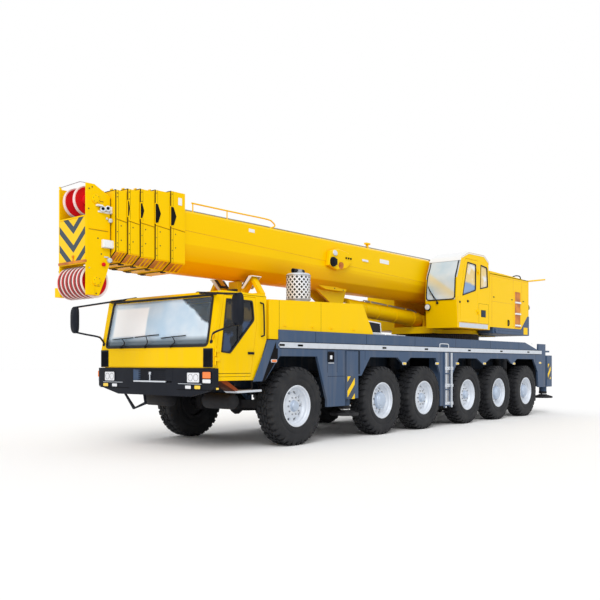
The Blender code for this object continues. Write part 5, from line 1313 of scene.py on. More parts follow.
def makeCollars():
    back = 1.73
    for number, (front, top, corner, half, low, deep) in enumerate(collarTable, 1):
        body = f"boom_section_{number}"
        flat = half * 0.6
        x0, x1 = along(back), along(front)
        shade, lines, windowShade, trims, dull = [], [], [], [], []
        # painted shadow band at the mouth, a raised dark flange line, a rib halfway up with a painted shadow line under
        # it, bolts; painted shade on the slanting underside and in the side windows
        shade.append(ring(outlineOf(half, min(top, 4.2085), corner, low, 0.0012), 0.01, x1 - 0.01, x1 + 0.002, "YZ"))
        lines.append(ring(outlineOf(half, min(top, 4.209), corner, low, 0.0006), 0.006, x1 - 0.052, x1 - 0.048, "YZ"))
        for side in (1, -1):
            y0, y1 = side * (half - 0.004), side * (half + 0.01)
            trims.append(slab([(x0 + 0.004, 3.585), (x1 - 0.012, 3.615), (x1 - 0.012, 3.64), (x0 + 0.004, 3.61)],
                y0, y1, "XZ", 0.004))
            y0, y1 = side * (half - 0.004), side * (half + 0.002)
            lines.append(slab([(x0 + 0.004, 3.578), (x1 - 0.012, 3.608), (x1 - 0.012, 3.613), (x0 + 0.004, 3.583)],
                y0, y1, "XZ", 0.0005))
            if deep > 0:
                wide = 0.155 if deep > 0.1 else 0.12
                pane = [(x1 - 0.001, 3.8 - wide), (x1 - 0.001, 3.8 + wide), (x1 - deep * 0.5, 3.8 + wide),
                    (x1 - deep, 3.81), (x1 - deep * 0.55, 3.8 - wide * 0.9)]
                windowShade.append(slab(pane, side * (half - 0.004), side * (half + 0.0022), "XZ", 0.0006))
                trims.append(ring(shrunk(np.asarray(pane), -0.008), 0.01, side * (half - 0.004),
                    side * (half + 0.0042)))
            spots = [(x1 - 0.03, side * (half - 0.001), z) for z in (corner + 0.06, 3.25, 3.42, 3.95, top - 0.05)]
            dull.append(heads(spots, (0, side, 0), 0.008, 0.007))
            spots = [(x1 - 0.1, side * (half - 0.001), z) for z in (3.3, 3.52)]
            dull.append(heads(spots, (0, side, 0), 0.01, 0.006))
            for u0, u1 in ((0.02, 0.1), (0.9, 0.98)):
                trims.append(onSlope(side, half, flat, corner, low, x0 + 0.004, x1 - 0.012, u0, u1, 0.012))
            for share in (0.0, 0.33, 0.66):
                at0 = x0 + 0.006 + share * (x1 - x0 - 0.05)
                trims.append(onSlope(side, half, flat, corner, low, at0, at0 + 0.02, 0.02, 0.98, 0.014))
            shade.append(onSlope(side, half, flat, corner, low, x0 + 0.01, x1 - 0.014, 0.08, 0.92, 0.002))
            # wear block under the mouth
            dull.append(box(x1 - 0.09, x1 - 0.03, side * (flat - 0.1), side * (flat - 0.02), low - 0.016,
                low + 0.004, 0.003))
        # the slanting underside plates take the brown painted shade; the mouth band stays near black
        slopeShade = [shade.pop(), shade.pop(1)]
        ears = []
        if number > 1:
            for y in (-0.36, -0.12, 0.12, 0.36):
                ears.append(slab(rect(x1 - 0.016, x1 - 0.002, top - 0.01, top + 0.026), y - 0.035, y + 0.035, "XZ",
                    0.003))
        else:
            ears = [box(x1 - 0.3, x1 - 0.28, -0.5, 0.5, 4.2, 4.2105, 0.002)]
        build(body + "_collar_trim", [([*trims, *ears], yellow), (slopeShade, shadeAndHoseBrown)], body, 30)
        build(body + "_collar_dark", [([*shade, *lines, *windowShade], holeBlack), (dull, darkSteel)],
            body, 30)
        back = front + 0.006
    build("collar_plate", [(slab(shifted(rect(1.8, 1.88, 4.005, 4.125)), 0.5305, 0.534, "XZ", 0.001), white)],
        "boom_section_1")


# boom head

chevronSize = {"middle": 0.04, "slope": 0.857, "period": 0.282, "thick": 0.115, "tip": 3.37, "low": 2.965,
    "high": 3.61}


def chevronLook():
    # height = z - slope * |y - middle|; dark where its part of a period is below the stripe's share
    look = Look("chevron_board")
    x, y, z = look.axes()
    size = chevronSize
    height = z - (y - size["middle"]).size() * size["slope"] - (size["tip"] - 10 * size["period"])
    dark = (height / size["period"]).fraction() < size["thick"] / size["period"]
    shade = look.mix(look.noise(3, 3).ramp(0.4, 0.8) * 0.2, paintShades["yellow"], (0.8, 0.44, 0.01))
    return look.done(Base_Color=look.mix(dark, shade, (0.04, 0.062, 0.085)),
        Roughness=look.noise(40, 2) * 0.1 + 0.34, Normal=look.bump(look.noise(120, 2), 0.06, 0.001),
        Specular_IOR_Level=0.25)


headSize = {"face": 3.5, "half": 0.366, "back": 3.075}


def makeHeadParts():
    size = headSize
    half = size["half"]
    board = brick(3.4995, 3.505, -0.336, half - 0.03, chevronSize["low"], chevronSize["high"] + 0.004, 0.001)
    lip = brick(3.49, 3.512, -0.366, 0.366, 2.925, 2.962, 0.003)
    top = brick(3.478, 3.512, -0.335, 0.335, 3.603, 3.622, 0.003)
    eye = joined(lathe([(0.012, 0), (0.02, 0.002), (0.02, 0.02), (0.012, 0.024)], at(3.506, 0.04, 3.03), (1, 0, 0),
        14), brick(3.505, 3.52, 0.03, 0.05, 2.962, 3.02, 0.002))
    build("chevron_board", [(board, chevronLook()), ([lip, eye], shadeAndHoseBrown), (top, yellow)],
        "boom_head")
    # lamps and camera on the near plate
    face = half + 0.0005
    lampBox = brick(2.95, 3.24, face - 0.002, face + 0.06, 3.165, 3.285, 0.006)
    ribs = [brick(2.97 + 0.03 * n, 2.982 + 0.03 * n, face + 0.058, face + 0.064, 3.18, 3.27, 0.002) for n in range(9)]
    camera = [lathe([(0.03, 0), (0.044, 0.004), (0.044, 0.05), (0.03, 0.056)], at(x, face + 0.002, z),
        (0.5, 0.85, 0.15), 20) for x, z in ((3.215, 3.735), (3.125, 3.755))]
    eyes = [lathe([(0.008, 0.055), (0.024, 0.056), (0.024, 0.06), (0.008, 0.061)], at(x, face + 0.002, z),
        (0.5, 0.85, 0.15), 20) for x, z in ((3.215, 3.735), (3.125, 3.755))]
    bracket = joined(brick(3.04, 3.3, face - 0.002, face + 0.01, 3.69, 3.715, 0.002),
        brick(3.24, 3.34, face, face + 0.05, 3.775, 3.8, 0.004), brick(3.06, 3.1, face, face + 0.03, 3.7, 3.8,
        0.003))
    small = joined(lathe([(0.022, 0), (0.032, 0.004), (0.032, 0.04), (0.022, 0.046)], at(3.09, face + 0.001, 3.588),
        (0.2, 1, 0), 18), brick(3.13, 3.16, face - 0.001, face + 0.02, 3.6, 3.63, 0.003))
    low = joined(lathe([(0.024, 0), (0.036, 0.004), (0.036, 0.046), (0.024, 0.052)], at(3.105, face - 0.001, 2.985),
        (0.2, 1, 0), 18), brick(3.12, 3.19, face - 0.001, face + 0.016, 3.02, 3.04, 0.003))
    red = lathe([(0.02, 0), (0.03, 0.003), (0.03, 0.024), (0.018, 0.03)], at(3.205, face - 0.001, 2.915), (0, 1, 0),
        18)
    build("head_lamps", [([lampBox, *ribs], white), ([*camera, small, low], silver), (eyes, holeBlack),
        (bracket, white), (red, redPaint)], "boom_head")
    # ledges, weld seams and slots on both plates
    plates, dark = [], []
    y0, y1 = half - 0.002, half + 0.01
    plates += both(brick(3.2, 3.34, y0, y1, 3.862, 3.876, 0.003))
    plates += both(brick(3.12, 3.46, y0, y1, 3.425, 3.44, 0.003))
    plates += both(brick(3.27, 3.36, y0, y1, 2.59, 2.604, 0.003))
    # thin dark strips just under the ledges: painted shadows
    dark += both(brick(3.2, 3.34, y0, half + 0.0012, 3.852, 3.858, 0.0004))
    dark += both(brick(3.12, 3.46, y0, half + 0.0012, 3.416, 3.421, 0.0004))
    dark += both(brick(3.27, 3.36, y0, half + 0.0012, 2.58, 2.586, 0.0004))
    dark += both(brick(3.075, 3.083, y0, half + 0.0012, 3.05, 3.93, 0.0004))
    spots = [at(x, half - 0.001, z) for x, z in ((3.45, 4.02), (3.4, 4.05), (3.46, 3.72), (3.3, 3.3), (3.24, 3.07),
        (3.46, 2.5), (3.33, 2.47))]
    dark += both(heads(spots, (0, 1, 0), 0.011, 0.007))
    # pins of both sheave rows
    for x, z in ((3.335, 3.88), (3.32, 2.655)):
        plates += both(lathe([(0.03, 0.0), (0.074, 0.001), (0.074, 0.01), (0.064, 0.016), (0.03, 0.018)],
            at(x, half - 0.001, z), (0, 1, 0), 28))
        spots = [at(x + 0.055 * math.cos(t), half + 0.012, z + 0.055 * math.sin(t)) for t in np.arange(0.3, 6.5,
            1.047)]
        dark += both(heads(spots, (0, 1, 0), 0.006, 0.006))
    # block on the far plate, notch plate at the near chin
    plates += [brick(3.36, 3.5, -0.366, -0.48, 2.445, 2.59, 0.006), slab(shifted([(3.37, 2.445), (3.515, 2.445),
        (3.515, 2.6), (3.44, 2.62), (3.37, 2.56)]), half - 0.01, half + 0.018, "XZ", 0.004)]
    build("head_ledges", [(plates, yellow), (dark, darkSteel)], "boom_head", 35)
    # guard rods before the sheaves, rod and bracket on top
    rods = [tube([at(3.45, -0.45, z), at(3.45, 0.37, z)], 0.01, 10) for z in (2.845, 2.475)]
    wire = tube([at(3.43, -0.455, 4.15), at(3.43, 0.1, 4.165), at(3.43, 0.335, 4.1)], 0.006, 8)
    arm = slab([(-0.47, 4.158), (-0.44, 4.17), (-0.328, 4.035), (-0.35, 4.01)], along(3.42), along(3.44), "YZ", 0.003)
    build("head_rods", [(rods, steel), (wire, steel), (arm, yellow)], "boom_head")


sheaveTable = {
    "upper": {"x": 3.335, "z": 3.88, "radius": 0.23, "count": 2, "pitch": 0.26},
    "lower": {"x": 3.32, "z": 2.655, "radius": 0.25, "count": 6, "pitch": 0.104},
}


def sheaveForms(row, roped):
    rims, webs, ropes, hubs = [], [], [], []
    r = row["radius"]
    t = evenTurns(12)
    for n in range(row["count"]):
        y = (n - (row["count"] - 1) / 2) * row["pitch"]
        spot = at(row["x"], y, row["z"])
        if roped:
            # pale lips against the next wheel's, with a red groove between them
            for s in (1, -1):
                lip = [(r - 0.034, s * 0.038), (r - 0.034, s * 0.0515), (r - 0.002, s * 0.0515), (r, s * 0.048),
                    (r - 0.004, s * 0.042)]
                rims.append(lathe(lip[::s], spot, (0, 1, 0), 64, True))
            webs.append(lathe([(0.08, -0.012), (r - 0.08, -0.016), (r - 0.036, -0.04), (r - 0.012, -0.041),
                (r - 0.034, -0.018), (r - 0.037, 0), (r - 0.034, 0.018), (r - 0.012, 0.041), (r - 0.036, 0.04),
                (r - 0.08, 0.016), (0.08, 0.012)], spot, (0, 1, 0), 64, True))
        else:
            rims.append(lathe([(r - 0.024, -0.016), (r - 0.006, -0.022), (r, -0.019), (r - 0.03, -0.008),
                (r - 0.036, 0), (r - 0.03, 0.008), (r, 0.019), (r - 0.006, 0.022), (r - 0.024, 0.016)], spot,
                (0, 1, 0), 64, True))
            webs.append(lathe([(0.08, -0.012), (r - 0.054, -0.016), (r - 0.023, -0.029), (r - 0.023, 0.029),
                (r - 0.054, 0.016), (0.08, 0.012)], spot, (0, 1, 0), 48, True))
        hubs.append(lathe([(0.052, -0.048), (0.086, -0.048), (0.092, -0.04), (0.092, 0.04), (0.086, 0.048),
            (0.052, 0.048)], spot, (0, 1, 0), 28, True))
        if roped:
            bead = np.stack([r - 0.02 + 0.016 * np.cos(t), 0.016 * np.sin(t)], 1)
            ropes.append(lathe(bead, spot, (0, 1, 0), 64, True))
    return rims, webs, ropes, hubs


def makeSheaves():
    for word, row in sheaveTable.items():
        rims, webs, ropes, hubs = sheaveForms(row, word == "lower")
        forms = [(rims, paleRim), (webs, redPaint), (hubs, redPaint)]
        if ropes:
            forms.append((ropes, strandLook(row)))
        build(f"sheave_wheels_{word}", forms, "boom_head", 35, [f"sheaves_{word}"])


def strandLook(row):
    # strands of the rope: a wave along the turn round the pin, leaning with y
    look = Look("rope_on_sheaves")
    x, y, z = look.axes()
    turn = (z - row["z"]).turn(x - along(row["x"]))
    wave = (turn * 150 + y * 420).sine() * 0.5 + 0.5
    return look.done(Base_Color=look.mix(wave, (0.12, 0.022, 0.016), (0.3, 0.09, 0.07)), Roughness=wave * 0.1 + 0.5,
        Metallic=0.2, Normal=look.bump(wave, 0.6, 0.003))


paleRim = paintLook("sheave_rim", (0.86, 0.76, 0.74), (0.6, 0.42, 0.4), 0.34, 0.05)
makeCollars()
makeHeadParts()
makeSheaves()
print("collars and head made")


# boom side: fixture, fairings, plates and the rail on top

def makeBoomParts():
    body = "boom_section_1"
    for side, word in ((1, "left"), (-1, "right")):
        # searchlight group: rounded hood, ribbed lens, small lamps
        hood = sideForm([(-2.02, 3.42), (-2.08, 3.72), (-2.35, 3.79), (-2.72, 3.74), (-2.84, 3.56), (-2.62, 3.4),
            (-2.3, 3.34)], side, 0.497, 0.6, 0.018)
        lens = lathe([(0.02, 0), (0.095, 0.004), (0.1, 0.03), (0.088, 0.052), (0.02, 0.06)],
            at(-2.16, side * 0.585, 3.5), (0.25, side, -0.1), 28)
        cap = lathe([(0.02, 0), (0.06, 0.004), (0.062, 0.03), (0.05, 0.042), (0.02, 0.046)],
            at(-2.22, side * 0.585, 3.68), (0.2, side, 0.3), 24)
        cup = lathe([(0.02, 0), (0.07, 0.004), (0.072, 0.026), (0.02, 0.034)], at(-2.42, side * 0.59, 3.45),
            (0.1, side, -0.2), 24)
        lugs = [lathe([(0.008, 0), (0.02, 0.002), (0.02, 0.022), (0.008, 0.026)], at(x, side * 0.597, 3.62),
            (0, side, 0), 12) for x in (-2.6, -2.68, -2.76)]
        ribs = [brick(-2.245 + 0.028 * n, -2.233 + 0.028 * n, side * 0.628, side * 0.65, 3.44, 3.56,
            0.002) for n in range(7)]
        build(f"boom_lights_{word}", [(hood, yellow), ([lens, *ribs], blackPlastic), (cap, silver),
            (cup, shadeAndHoseBrown), (lugs, holeBlack)], body, 35)
        # long seam of the folded sheets
        x = np.linspace(along(-8.6), along(1.71), 80)
        z = np.interp(x, [along(-8.6), along(-5.69), along(-2.0), along(1.71)], [3.36, 3.41, 3.52, 3.63])
        band = sweptBand(x, z, side * 0.4995, side * 0.503, 0.006)
        # a painted shadow just under the seam
        shadowGap = sweptBand(x, z - 0.008, side * 0.4995, side * 0.5012, 0.002)
        build(f"boom_seam_{word}", [(band, yellow), (shadowGap, shadeAndHoseBrown)], body, 30)
        plate = sideForm([(-4.0, 3.672), (-4.36, 3.667), (-4.36, 3.76), (-4.0, 3.765)], side, 0.4985, 0.5035, 0.001)
        lamp = sideForm(rounder([(-3.31, 3.64), (-3.53, 3.636), (-3.53, 3.682), (-3.31, 3.688)], 0.02, 4), side,
            0.497, 0.52, 0.004)
        small = sideForm([(0.2, 3.8), (0.05, 3.798), (0.05, 3.86), (0.2, 3.862)], side, 0.4985, 0.503, 0.001)
        build(f"boom_plates_{word}", [([plate, small], white), (lamp, clearLens)], body)
        # fairing over the lift cylinder's lugs
        fair = sideForm([(-1.95, 3.06), (-2.04, 3.18), (-2.785, 3.03), (-3.04, 3.02), (-3.0, 2.96), (-2.3, 2.965)],
            side, 0.1, 0.3, 0.01)
        bolts = heads([at(px, side * 0.299, pz) for px, pz in ((-2.06, 3.12), (-2.3, 3.06), (-2.6, 3.01),
            (-2.9, 2.99))], (0, side, 0), 0.014, 0.008)
        build(f"boom_fairing_{word}", [(fair, yellow), (bolts, darkSteel)], body, 35)
        # covers on the tail
        tail = sideForm(rect(-8.75, -9.3, 3.1, 3.62), side, 0.4985, 0.5085, 0.004)
        pin = lathe([(0.03, 0), (0.135, 0.002), (0.135, 0.012), (0.12, 0.02), (0.03, 0.022)],
            at(-9.05, side * 0.5075, 3.35), (0, side, 0), 36)
        build(f"boom_tail_{word}", [(tail, yellow), (pin, steel)], body, 35)
    # rail along the top, its feet, and the sensor bracket
    line = rounded([at(1.384, 0.3, 4.15), at(0.85, 0.3, 4.15), at(0.2, 0.3, 4.152), at(-0.5, 0.3, 4.155),
        at(-0.66, 0.3, 4.12), at(-0.72, 0.3, 4.058), at(-0.6, 0.3, 4.0), at(-0.52, 0.3, 3.955)], 5)
    feet = [tube([at(x, 0.3, 3.955), at(x, 0.3, 4.15)], 0.011, 10) for x in (1.36, 0.55)]
    build("boom_rail", [(joined(tube(line, 0.014, 12), *feet), yellow)], body)
    bracket = joined(brick(-4.22, -4.03, 0.02, 0.12, 3.956, 3.972, 0.003),
        brick(-4.14, -4.1, 0.04, 0.1, 3.965, 4.16, 0.004), brick(-4.2, -4.05, 0.03, 0.11, 4.14, 4.18, 0.006))
    roller = lathe([(0.01, -0.19), (0.045, -0.185), (0.045, 0.185), (0.01, 0.19)], at(-6.9, 0, 4.03), (0, 1, 0), 24)
    stand = joined(*[brick(-6.96, -6.84, y - 0.008, y + 0.008, 3.955, 4.07, 0.003) for y in (-0.2, 0.2)])
    build("boom_top_fittings", [([bracket, stand], yellow), (roller, darkSteel)], body)
    # seams across the top, where sheets meet
    seams = [brick(x - 0.003, x + 0.003, -0.45, 0.45, 3.9585, 3.9612, 0.0004) for x in (0.9, -1.4, -3.7, -6.0, -8.3)]
    build("boom_top_seams", [(seams, darkSteel)], body)


def sideForm(outline, side, y0, y1, edge):
    return slab(shifted(outline), side * y0, side * y1, "XZ", edge)


def sweptBand(x, z, y0, y1, half):
    # a closed strip that follows the line z(x) on the boom's side, half its width above and below it
    rows = np.stack([np.stack([x, np.full_like(x, y), z + s * half], 1) for y,
        s in ((y0, -1), (y1, -1), (y1, 1), (y0, 1))], 1)
    return rows.reshape(-1, 3), gridFaces(len(x), 4, False, True, True)


def makeCylinderParts():
    # bands, hose pipes and their clips on the lift cylinder
    foot, eye = np.array(at(-6.6, 0, 2.52)), np.array(at(-2.9, 0, 2.72))
    way = (eye - foot) / np.linalg.norm(eye - foot)
    def spot(distance, y=0.0, lift=0.0):
        return foot + way * distance + np.array([0, y, lift])
    bands = [lathe([(0.172, -0.02), (0.186, -0.018), (0.186, 0.018), (0.172, 0.02)], spot(d), way, 44,
        True) for d in (0.55, 1.35, 2.1, 2.62)]
    pipes = []
    for y, lift in ((0.1, 0.168), (-0.1, 0.168), (0.05, 0.196)):
        pipes.append(tube(rounded([spot(0.42, y, lift * 0.8), spot(0.5, y, lift + 0.01), spot(1.5, y, lift + 0.01),
            spot(2.5, y, lift + 0.01), spot(2.6, y, lift * 0.85)], 4), 0.012, 10))
    clips = [box(*sorted((spot(d)[0] - 0.015, spot(d)[0] + 0.015)), -0.12, 0.12, spot(d)[2] + 0.165,
        spot(d)[2] + 0.2, 0.003) for d in (0.9, 1.7, 2.4)]
    build("lift_barrel_parts", [([*bands, *clips], yellow), (pipes, steel)], "lift_barrel")


makeBoomParts()
makeCylinderParts()
print("boom parts made")


# operator's cab

boothSize = {"in": 0.62, "out": 1.45, "screenLow": 2.925, "screenHigh": 3.955, "seal": 0.026}
boothFront = [(-5.772, 2.88), (-5.76, 3.02), (-5.8, 3.45), (-5.905, 3.69), (-6.02, 3.95), (-6.18, 4.015)]
boothDoorWindow = [(-6.06, 3.03), (-6.31, 3.86), (-6.76, 3.84), (-6.75, 3.2)]
boothRearWindow = [(-6.97, 3.25), (-7.0, 3.86), (-7.36, 3.82), (-7.4, 3.33)]
boothBoomWindow = [(-6.15, 3.1), (-6.3, 3.86), (-7.2, 3.86), (-7.2, 3.1)]


def evenly(outline, step):
    # the closed outline again with points no farther apart than step
    p = np.asarray(outline, float)
    q = np.roll(p, -1, 0)
    counts = np.maximum(1, np.ceil(np.linalg.norm(q - p, axis=1) / step)).astype(int)
    parts = [p[i] + (q[i] - p[i]) * (np.arange(n) / n)[:, None] for i, n in enumerate(counts)]
    return np.concatenate(parts)


def drapedFront(form):
    # form's x is the place across, y the height z on the cab's front, z the distance out of it
    points, faces = form
    line = rounded(boothFront, 12)
    order = np.argsort(line[:, 1])
    x = np.interp(points[:, 1], line[order, 1], line[order, 0])
    slope = np.interp(points[:, 1] + 0.01, line[order, 1], line[order, 0]) - np.interp(points[:, 1] - 0.01,
        line[order, 1], line[order, 0])
    size = np.sqrt(slope**2 + 0.02**2)
    out = points[:, 2]
    return np.stack([along(x) + out * 0.02 / size, points[:, 0], points[:, 1] - out * slope / size], 1), faces


def makeBoothShell():
    # a second look on the shell's inner faces; the plain seat inside is dropped for the padded one
    made = dressed("operator_cab", "operator_cab_shell", "superstructure", "yellow_paint", yellow, 0.014,
        inner=((along(-7.47), along(-5.8), 0.655, 1.412, 2.38, 4.07), liningPlastic,
        (along(-7.35), along(-6.4), 0.75, 1.32, 2.415, 3.9)))
    return made


def makeBoothGlass():
    y0, y1 = boothSize["in"] + 0.022, boothSize["out"] - 0.022
    low, high = boothSize["screenLow"], boothSize["screenHigh"]
    outline = evenly(rounder([(y0, low), (y1, low), (y1 - 0.015, high), (y0 + 0.015, high)], 0.1, 6), 0.06)
    seal = drapedFront(ring(outline, boothSize["seal"], -0.012, 0.01, "XY"))
    u, v = np.meshgrid(np.linspace(0, 1, 9), np.linspace(0, 1, 25))
    pane = np.stack([y0 + 0.012 + (y1 - y0 - 0.024) * u, low + 0.012 + (high - low - 0.024) * v,
        np.full_like(u, 0.0045)], -1).reshape(-1, 3)
    pane = drapedFront((pane, gridFaces(25, 9)))
    sill = drapedFront(slabOf(rect(y0 + 0.01, y1 - 0.01, low + 0.005, 3.052), 0.0005, 0.0025))
    build("booth_screen_seal", [(seal, blackRubber), (sill, white)], "superstructure")
    build("booth_screen", [(pane, boothGlass)], "superstructure", 60)
    face = boothSize["out"]
    for name, body, window, y, look in (("booth_door", "operator_door", boothDoorWindow, face, boothSideGlass),
        ("booth_rear", "superstructure", boothRearWindow, face, boothSideGlass),
        ("booth_inner", "superstructure", boothBoomWindow, boothSize["in"], boothBoomGlass),):
        line = rounder(shifted(window), 0.05, 5)
        sign = 1 if y > 1 else -1
        frameForm = ring(line, 0.024, *sorted((y - sign * 0.03, y + sign * 0.006)))
        glass = slab(shrunk(line, 0.014), *sorted((y - sign * 0.02, y - sign * 0.015)))
        build(name + "_seal", [(frameForm, blackRubber)], body)
        build(name + "_glass", [(glass, look)], body)


def slabOf(outline, low, high):
    return slab(evenly(outline, 0.06), low, high, "XY")


def makeBoothRoof():
    # a pale cap over the roof, following its corners, with a rounded visor at the front
    line = rounder([(-5.955, 3.862), (-6.012, 3.962), (-6.366, 4.104), (-7.195, 4.114), (-7.436, 3.978),
        (-7.452, 3.9), (-7.438, 3.896), (-7.42, 3.966), (-7.19, 4.098), (-6.37, 4.088), (-6.024, 3.95),
        (-5.97, 3.858)], 0.02, 3)
    cap = slab(shifted(line), boothSize["in"] - 0.006, boothSize["out"] + 0.006, "XZ", 0.004)
    rim = [slab(shifted([(-6.03, 3.945), (-6.372, 4.08), (-7.188, 4.09), (-7.405, 3.965), (-7.395, 3.945),
        (-7.18, 4.066), (-6.378, 4.058), (-6.045, 3.925)]), *sorted((y, y + sign * 0.007)), "XZ", 0.002) for y,
        sign in ((boothSize["out"] - 0.002, 1), (boothSize["in"] + 0.002, -1))]
    hooks = [brick(x, x - 0.1, 1.3, 1.36, 4.11, 4.128, 0.004) for x in (-6.45, -7.1)]
    ribs = [brick(-6.45, -7.12, y, y + 0.02, 4.108, 4.12, 0.004) for y in (0.8, 1.0, 1.2)]
    build("booth_roof", [([cap, *rim, *hooks, *ribs], white)], "superstructure")


def makeBoothParts():
    face = boothSize["out"]
    body = "superstructure"
    arm = pipe([(-5.752, 0.95, 2.88), (-5.732, 0.93, 2.94), (-5.727, 0.83, 3.08), (-5.722, 0.755, 3.17)], 4, 0.009, 8)
    blade = tube(drapedFront((np.stack([np.linspace(0.88, 0.7, 9), np.linspace(2.965, 3.27, 9), np.full(9, 0.02)],
        1), []))[0], 0.009, 8)
    foot = lathe([(0.012, 0), (0.03, 0.002), (0.03, 0.024), (0.014, 0.032)], at(-5.768, 0.95, 2.87), (1, 0, 0), 16)
    build("booth_wiper", [([arm, blade, foot], blackPlastic)], body, 50)
    shell = lathe([(0.02, -0.055), (0.05, -0.05), (0.074, -0.015), (0.078, 0.02), (0.07, 0.024), (0.02, 0.02)],
        at(-5.735, 0.705, 2.775), (1, 0, 0), 28)
    lens = lathe([(0.01, 0.02), (0.068, 0.021), (0.06, 0.03), (0.01, 0.036)], at(-5.735, 0.705, 2.775), (1, 0, 0), 28)
    stalk = brick(-5.8, -5.74, 0.69, 0.72, 2.69, 2.72, 0.004)
    build("booth_lamp", [([shell, stalk], blackPlastic), (lens, clearLens)], body)
    # hinge-side louvre, the hatch line round it and the blank plate strip along the foot
    slats = [brick(-7.26, -7.04, face + 0.002, face + 0.012, z, z + 0.014, 0.004) for z in np.arange(2.585, 2.735,
        0.026)]
    # the dark bed behind the slats is painted shade
    bed = brick(-7.275, -7.025, face - 0.001, face + 0.003, 2.572, 2.745, 0.001)
    line = shifted(rect(-6.9, -7.43, 2.41, 2.9))
    hatch = ring(line, 0.004, face - 0.002, face + 0.0012)
    build("booth_louvre", [(slats, grey), ([bed, hatch], holeBlack)], body)
    strip = brick(-7.38, -5.9, face + 0.0006, face + 0.007, 2.285, 2.395, 0.002)
    lips = joined(brick(-7.38, -5.9, face + 0.006, face + 0.01, 2.386, 2.395, 0.002),
        brick(-7.38, -5.9, face + 0.006, face + 0.01, 2.285, 2.294, 0.002))
    build("booth_plate", [([strip, lips], silver)], body)
    knobs = joined(lathe([(0.008, -0.002), (0.03, 0.0), (0.03, 0.014), (0.022, 0.02), (0.008, 0.021)],
        at(-6.318, face, 2.919), (0, 1, 0), 20), brick(-6.36, -6.29, face + 0.014, face + 0.026, 2.905, 2.932,
        0.005))
    build("booth_door_knob", [(knobs, blackPlastic)], "operator_door")
    knob = lathe([(0.008, -0.002), (0.026, 0.0), (0.026, 0.014), (0.018, 0.02), (0.008, 0.021)],
        at(-5.93, face, 2.877), (0, 1, 0), 20)
    build("booth_knob", [(knob, blackPlastic)], body)
    seams = [brick(-5.84, -5.83, face - 0.002, face + 0.001, 2.37, 3.0, 0.0004),
        brick(-7.46, -5.86, face - 0.002, face + 0.001, 2.402, 2.406, 0.0004)]
    build("booth_seams", [(seams, shadeAndHoseBrown)], body)


def makeBoothInside():
    body = "superstructure"
    panel = slab(rounder(shifted([(-5.86, 2.45), (-6.12, 2.45), (-6.1, 2.9), (-6.02, 3.02), (-5.86, 3.04)]), 0.03,
        3), 0.7, 1.37, "XZ", 0.01)
    screenBox = slab(rounder(shifted([(-6.02, 3.1), (-6.08, 3.11), (-6.1, 3.28), (-6.05, 3.29)]), 0.01, 2), 0.76,
        0.98, "XZ", 0.006)
    post = tube([at(-6.0, 0.87, 3.02), at(-6.05, 0.87, 3.12)], 0.018, 10)
    arms = []
    for y in (0.79, 1.28):
        arms += [brick(-6.98, -6.55, y - 0.045, y + 0.045, 2.86, 2.905, 0.015),
            tube([at(-6.6, y, 2.9), at(-6.575, y, 3.04)], 0.014, 10), lathe([(0.01, 0), (0.026, 0.01),
            (0.028, 0.04), (0.01, 0.06)], at(-6.575, y, 3.03), (0.2, 0, 1), 16)]
    mat = brick(-7.38, -5.92, 0.68, 1.38, 2.395, 2.412, 0.004)
    build("booth_console", [([panel, screenBox, post, *arms, mat], cabinPlastic)], body)
    makeSeat("booth_seat", body, -7.05, (boothSize["in"] + boothSize["out"]) / 2, 2.405, 2.72)


def boothSideLook():
    # painted reflections on the pane: warm with pale patches above a level, blue below it; the share runs over 4 cm
    look = Look("booth_side_glass")
    x, y, z = look.axes()
    reflectionPatch = look.noise(3, 2)
    shade = look.mix(reflectionPatch.ramp(0.48, 0.62), (0.94, 0.72, 0.3), (0.93, 0.95, 0.97))
    shade = look.mix((z + reflectionPatch * 0.12 - x * 0.1).ramp(3.68, 3.63), shade, (0.26, 0.42, 0.7))
    return look.done(Base_Color=shade, Roughness=reflectionPatch * 0.02 + 0.04, Alpha=reflectionPatch * 0.1 + 0.72,
        Specular_IOR_Level=0.5)


liningPlastic = plasticLook("pale_lining", (0.52, 0.56, 0.6), 0.55)
boothSideGlass = boothSideLook()
boothBoomGlass = glassLook("booth_boom_glass", (0.95, 0.66, 0.2), 0.8, reflectionTint=(0.98, 0.84, 0.55))


def boothScreenLook():
    # painted reflections: pale sky, with the boom's yellow in a slanting band: height + 0.67 of the place across lies
    # between two levels
    look = Look("booth_screen_glass")
    x, y, z = look.axes()
    reflectionPatch = look.noise(2.4, 2)
    level = z + y * 0.67 + reflectionPatch * 0.06
    band = level.ramp(4.12, 4.04) * level.ramp(3.7, 3.98)
    shade = look.mix(reflectionPatch.ramp(0.35, 0.65), (0.6, 0.78, 0.92), (0.84, 0.92, 0.98))
    return look.done(Base_Color=look.mix(band * 0.6, shade, (0.85, 0.64, 0.2)), Roughness=reflectionPatch * 0.02 + 0.04,
        Alpha=band * 0.1 + 0.74, Specular_IOR_Level=0.5)


boothGlass = boothScreenLook()
makeBoothShell()
makeBoothGlass()
makeBoothRoof()
makeBoothParts()
makeBoothInside()
print("operator's cab made")


# machine houses, counterweight, winch and slewing ring

houseSize = {"face": 1.45, "front": -7.503, "back": -9.88, "low": 2.36, "high": 3.76, "highBack": 3.7,
    "recess": (-8.97, -9.33), "treads": (2.42, 2.73, 3.03)}


def houseTop(x):
    share = (houseSize["front"] - x) / (houseSize["front"] - houseSize["back"])
    return houseSize["high"] + (houseSize["highBack"] - houseSize["high"]) * share


